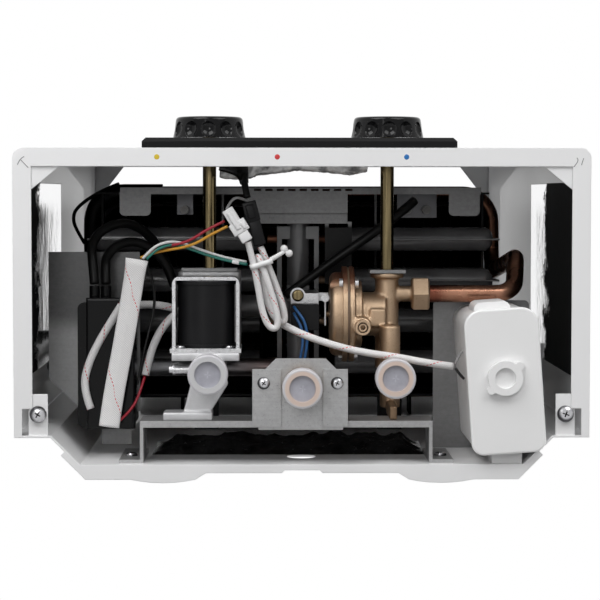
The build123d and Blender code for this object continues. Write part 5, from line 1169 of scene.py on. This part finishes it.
def scatter_tree():
    """Instances of one shape on points with an aim, a turn and a size."""
    group = bpy.data.node_groups.new("shape_on_points", "GeometryNodeTree")
    face = group.interface
    kinds = {"Points": "NodeSocketGeometry", "Shape": "NodeSocketObject", "Finish": "NodeSocketMaterial"}
    for name, kind in kinds.items():
        face.new_socket(name, in_out="INPUT", socket_type=kind)
    face.new_socket("Result", in_out="OUTPUT", socket_type="NodeSocketGeometry")
    tree = Tree(group)
    given = {name: tree.node("NodeGroupInput", out=name) for name in kinds}
    vector = {"data_type": "FLOAT_VECTOR"}
    aim = tree.node("GeometryNodeInputNamedAttribute", vector, {"Name": "aim"})
    size = tree.node("GeometryNodeInputNamedAttribute", {"data_type": "FLOAT"}, {"Name": "size"})
    spin = tree.node("GeometryNodeInputNamedAttribute", vector, {"Name": "spin"})
    facing = tree.node("FunctionNodeAlignRotationToVector", {"axis": "Z"}, {"Vector": aim})
    local = {"rotation_space": "LOCAL"}
    turned = tree.node("FunctionNodeRotateRotation", local, {"Rotation": facing, "Rotate By": spin})
    shape = tree.node("GeometryNodeObjectInfo", {}, {"Object": given["Shape"]}, out="Geometry")
    placed = tree.node("GeometryNodeInstanceOnPoints", {}, {
        "Points": given["Points"], "Instance": shape, "Rotation": turned, "Scale": size})
    real = tree.node("GeometryNodeRealizeInstances", {}, {"Geometry": placed})
    done = tree.node("GeometryNodeSetMaterial", {}, {"Geometry": real, "Material": given["Finish"]})
    tree.node("NodeGroupOutput", {}, {"Result": done})
    return group


shape_on_points = scatter_tree()


def scatter(name, shape, places, material, slot, stands_for=()):
    """One mesh of a shape repeated at places: (spot in mm, aim, turn in degrees, size in mm)."""
    mesh = bpy.data.meshes.new(name)
    mesh.from_pydata([Vector(spot) * MM for spot, *_ in places], [], [])
    for key, kind in (("aim", "FLOAT_VECTOR"), ("spin", "FLOAT_VECTOR"), ("size", "FLOAT")):
        mesh.attributes.new(key, kind, "POINT")
    for i, (_, aim, angle, size) in enumerate(places):
        mesh.attributes["aim"].data[i].vector = aim
        mesh.attributes["spin"].data[i].vector = (0, 0, math.radians(angle))
        mesh.attributes["size"].data[i].value = size * MM
    holder = bpy.data.objects.new(name + "_points", mesh)
    scene.collection.objects.link(holder)
    modifier = holder.modifiers.new("scatter", "NODES")
    modifier.node_group = shape_on_points
    inputs = {s.name: s.identifier for s in shape_on_points.interface.items_tree if s.in_out == "INPUT"}
    modifier[inputs["Shape"]] = shape
    modifier[inputs["Finish"]] = material
    made = plain_mesh(holder)
    bpy.data.objects.remove(holder)
    print(name, len(places), "copies", len(made.polygons), "faces")
    return take_place(new_piece(name, made, material, smooth=False), "case", slot, *stands_for)


head = pan_head()
down = (0, 0, -1)
out = (0, -1, 0)
cover_heads = [((side * 150.5, -39.6, 0.0), down, 20 + 50 * side, 4.8) for side in (-1, 1)]
scatter("cover_screw_heads", head, cover_heads, chrome, "chrome_screw", ["cover_screws"])
bracket_heads = [((side * 21.0 - 1.0, -57.0, 3.3), down, 15 - 40 * side, 3.6) for side in (-1, 1)]
bracket_heads += [((x, -12.7, 25.0), out, 30, 3.6) for x in (-99.0, 81.0)]
scatter("bracket_screw_heads", head, bracket_heads, chrome, "chrome_screw", ["bracket_screws"])
gas_heads = [((x, -76.0, z), out, 3 * z, 3.2) for x in (-69.5, -41.5) for z in (16.2, 47.8)]
scatter("solenoid_screw_heads", head, gas_heads, chrome, "chrome_screw", ["gas_screws"])
bpy.data.objects.remove(head)

# %% [markdown]
# ## Pipe threads
#
# Under their caps the three ends carry a half inch pipe thread. A thread is a ridge that follows a helix,
# so Geometry Nodes draw it: a spiral line with no growth in radius, swept by a small round profile.


# %% Thread ridges
def thread_tree():
    """A ridge along a helix, with its radius, length, turns and ridge as inputs."""
    group = bpy.data.node_groups.new("thread_ridge", "GeometryNodeTree")
    face = group.interface
    kinds = {"Radius": "NodeSocketFloat", "Length": "NodeSocketFloat", "Turns": "NodeSocketFloat",
             "Ridge": "NodeSocketFloat", "Foot": "NodeSocketVector", "Finish": "NodeSocketMaterial"}
    for name, kind in kinds.items():
        face.new_socket(name, in_out="INPUT", socket_type=kind)
    face.new_socket("Result", in_out="OUTPUT", socket_type="NodeSocketGeometry")
    tree = Tree(group)
    given = {name: tree.node("NodeGroupInput", out=name) for name in kinds}
    helix = tree.node("GeometryNodeCurveSpiral", {}, {
        "Resolution": 36, "Rotations": given["Turns"], "Start Radius": given["Radius"],
        "End Radius": given["Radius"], "Height": given["Length"]})
    profile = tree.node("GeometryNodeCurvePrimitiveCircle", {}, {"Resolution": 6, "Radius": given["Ridge"]})
    sweep = {"Curve": helix, "Profile Curve": profile, "Fill Caps": True}
    ridge = tree.node("GeometryNodeCurveToMesh", {}, sweep)
    moved = tree.node("GeometryNodeTransform", {}, {"Geometry": ridge, "Translation": given["Foot"]})
    real = tree.node("GeometryNodeRealizeInstances", {}, {"Geometry": moved})
    done = tree.node("GeometryNodeSetMaterial", {}, {"Geometry": real, "Material": given["Finish"]})
    tree.node("NodeGroupOutput", {}, {"Result": done})
    return group


thread_ridge = thread_tree()
thread_low, thread_length, thread_pitch = -4.2, 7.6, 1.814
thread_radius, ridge_radius = 10.36, 0.32


def pipe_thread(name, x, y, material, slot):
    """The thread of one pipe end."""
    holder = bpy.data.objects.new(name + "_seat", bpy.data.meshes.new(name + "_seat"))
    scene.collection.objects.link(holder)
    modifier = holder.modifiers.new("thread", "NODES")
    modifier.node_group = thread_ridge
    values = {
        "Radius": thread_radius * MM, "Length": thread_length * MM, "Turns": thread_length / thread_pitch,
        "Ridge": ridge_radius * MM, "Foot": Vector((x, y, thread_low)) * MM, "Finish": material,
    }
    for socket in thread_ridge.interface.items_tree:
        if socket.in_out == "INPUT":
            modifier[socket.identifier] = values[socket.name]
    made = plain_mesh(holder)
    bpy.data.objects.remove(holder)
    print(name, len(made.polygons), "faces")
    return take_place(new_piece(name, made, material), "case", slot)


pipe_thread("gas_thread", *pipe_ends["gas"], alloy, "cast_alloy")
pipe_thread("hot_thread", *pipe_ends["hot"], brass, "cast_brass")
pipe_thread("cold_thread", *pipe_ends["cold"], brass, "cast_brass")

# %% [markdown]
# ## Marks on the rim
#
# Three painted dots tell gas, hot and cold apart. They are thin discs on the enamel, a little domed as
# paint is. At the two front corners the folded rim leaves short open seams, which are thin dark lines.


# %% Coloured dots
def paint_dot(name, x, colour):
    """A drop of paint on the underside of the front rim."""
    mesh = bpy.data.meshes.new(name)
    work = bmesh.new()
    bmesh.ops.create_uvsphere(work, u_segments=24, v_segments=12, radius=1.0)
    dot_r, dot_h, dot_y = 1.5, 0.12, -186.0
    for v in work.verts:
        v.co = (Vector((x, dot_y, 0)) + Vector((v.co.x * dot_r, v.co.y * dot_r, v.co.z * dot_h))) * MM
    work.to_mesh(mesh)
    work.free()
    return take_place(new_piece(name, mesh, insulated(name + "_paint", colour)), "case", "wire_skin")


seam_paint = insulated("seam_shadow", (0.22, 0.22, 0.22))
seams = {
    "left_seam_a": [(-155.3, -179.9, 0.0), (-157.6, -182.4, 0.0), (-159.4, -184.2, 0.0)],
    "left_seam_b": [(-161.3, -181.5, 0.0), (-159.9, -185.2, 0.0), (-157.5, -186.1, 0.0)],
    "right_seam_a": [(154.3, -180.6, 0.0), (157.8, -184.2, 0.0), (156.0, -185.6, 0.0)],
    "right_seam_b": [(158.7, -181.5, 0.0), (159.2, -183.6, 0.0), (159.9, -185.4, 0.0)],
}
seam_radius = 0.22
for name, route in seams.items():
    lay_tube(name, route, round_section(seam_radius), seam_paint, "white_enamel")

paint_dot("gas_dot", -82.5, (0.72, 0.52, 0.01))
paint_dot("hot_dot", -14.2, (0.66, 0.03, 0.03))
paint_dot("cold_dot", 59.2, (0.01, 0.17, 0.5))

# %% [markdown]
# ## Plugs and the cable tie
#
# Small nylon mouldings: a housing with a shoulder, a latch and a rear collar where the sleeve goes in.
# They are boxes with softened edges, made in the plug's own frame and then put at the hank's two ends.


# %% Plug housings
def soft_box(work, low, high, soft):
    """A box between two corners in mm, with its edges rounded."""
    made = bmesh.ops.create_cube(work, size=1.0)
    centre = [(a + b) / 2 for a, b in zip(low, high)]
    size = [b - a for a, b in zip(low, high)]
    for v in made["verts"]:
        v.co = Vector([c + x * s for c, x, s in zip(centre, v.co, size)])
    edges = list({e for v in made["verts"] for e in v.link_edges})
    bmesh.ops.bevel(work, geom=edges, offset=soft, segments=2, affect="EDGES", profile=0.6)


def plug(name, end, turn_deg, boxes, material, slot):
    """A moulded housing beyond a cord's end, along the cord's own direction."""
    mesh = bpy.data.meshes.new(name)
    work = bmesh.new()
    for low, high, soft in boxes:
        soft_box(work, low, high, soft)
    swing = Matrix.Rotation(math.radians(turn_deg), 4, "Z")
    place = Matrix.Translation(Vector(end) * MM) @ swing @ Matrix.Scale(MM, 4)
    bmesh.ops.transform(work, matrix=place, verts=work.verts)
    work.to_mesh(mesh)
    work.free()
    return take_place(new_piece(name, mesh, material), "case", slot)


white_boxes = [
    ((-3.3, -22.5, -3.6), (3.3, -12.0, 3.4), 0.5),
    ((-4.6, -13.6, -3.9), (5.4, -6.4, 3.8), 0.6),
    ((-3.0, -7.0, -3.4), (3.6, -0.6, 3.2), 0.7),
    ((-1.6, -20.5, -4.6), (1.4, -9.0, -3.2), 0.4),
    ((2.2, -12.0, -4.5), (4.4, -7.6, -3.0), 0.4),
]
black_boxes = [
    ((-4.2, -27.0, -3.6), (4.2, -15.0, 3.6), 0.7),
    ((-3.7, -15.6, -3.2), (3.7, -0.8, 3.2), 0.9),
    ((-2.4, -25.0, -4.6), (2.0, -17.0, -3.2), 0.5),
]
plug("white_plug", hank_route[0], -32.0, white_boxes, plastic, "white_plastic")
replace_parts(plug("black_plug", hank_route[-1], -15.0, black_boxes, satin, "coil_black"), "plug_connectors")


# %% Cable tie and strap
def tie_band():
    """The nylon tie round the hank, with its tail and two ball ends."""
    mesh = bpy.data.meshes.new("cable_tie")
    work = bmesh.new()
    lean = math.radians(-17.0)
    centre = Vector((-23.4, -124.5, 23.5))
    across = Vector((math.cos(lean), math.sin(lean), 0))
    along = Vector((-math.sin(lean), math.cos(lean), 0))
    half_w, half_h, corner, steps = 6.9, 6.2, 2.6, 6
    loop = []
    for cx, cy, start in ((1, 1, 0), (-1, 1, 90), (-1, -1, 180), (1, -1, 270)):
        for i in range(steps + 1):
            angle = math.radians(start + 90 * i / steps)
            x = cx * (half_w - corner) + corner * math.cos(angle)
            z = cy * (half_h - corner) + corner * math.sin(angle)
            loop.append((x, z))
    rings = []
    for x, z in loop:
        flat = Vector((x, z)).normalized()
        ring = []
        for t, w in ((0.0, -1.5), (0.0, 1.5), (-1.0, 1.5), (-1.0, -1.5)):
            spot = centre + across * (x + flat.x * t) + Vector((0, 0, z + flat.y * t)) + along * w
            ring.append(work.verts.new(spot * MM))
        rings.append(ring)
    for a, b in zip(rings, rings[1:] + rings[:1]):
        for i in range(4):
            work.faces.new((a[i], a[(i + 1) % 4], b[(i + 1) % 4], b[i]))
    start, end = Vector((-17.6, -127.2, 20.6)), Vector((-9.2, -132.2, 22.0))
    beads, tail_sag = 9, 1.2
    for i in range(beads):
        share = i / (beads - 1)
        spot = start.lerp(end, share) + Vector((0, 0, -tail_sag * math.sin(math.pi * share)))
        bead = (1.5 - 0.35 * share) * MM
        made = bmesh.ops.create_uvsphere(work, u_segments=14, v_segments=10, radius=bead)
        for v in made["verts"]:
            v.co += spot * MM
    for knob in ((-10.2, -133.4, 22.0), (-7.3, -130.7, 22.0)):
        made = bmesh.ops.create_uvsphere(work, u_segments=20, v_segments=14, radius=2.2 * MM)
        for v in made["verts"]:
            v.co += Vector(knob) * MM
    bmesh.ops.recalc_face_normals(work, faces=work.faces)
    work.to_mesh(mesh)
    work.free()
    return take_place(new_piece("cable_tie", mesh, plastic), "case", "white_plastic")


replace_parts(tie_band(), "cable_ties")
strap_route = [
    (-122.2, -171.8, 249.6), (-134.5, -167.0, 241.0), (-150.5, -155.5, 238.0), (-153.0, -147.5, 241.0),
    (-150.5, -139.6, 245.0), (-145.6, -131.0, 248.4),
]
lay_cord("pipe_strap", strap_route, round_section(1.2), 2.4, rubber, "black_rubber")
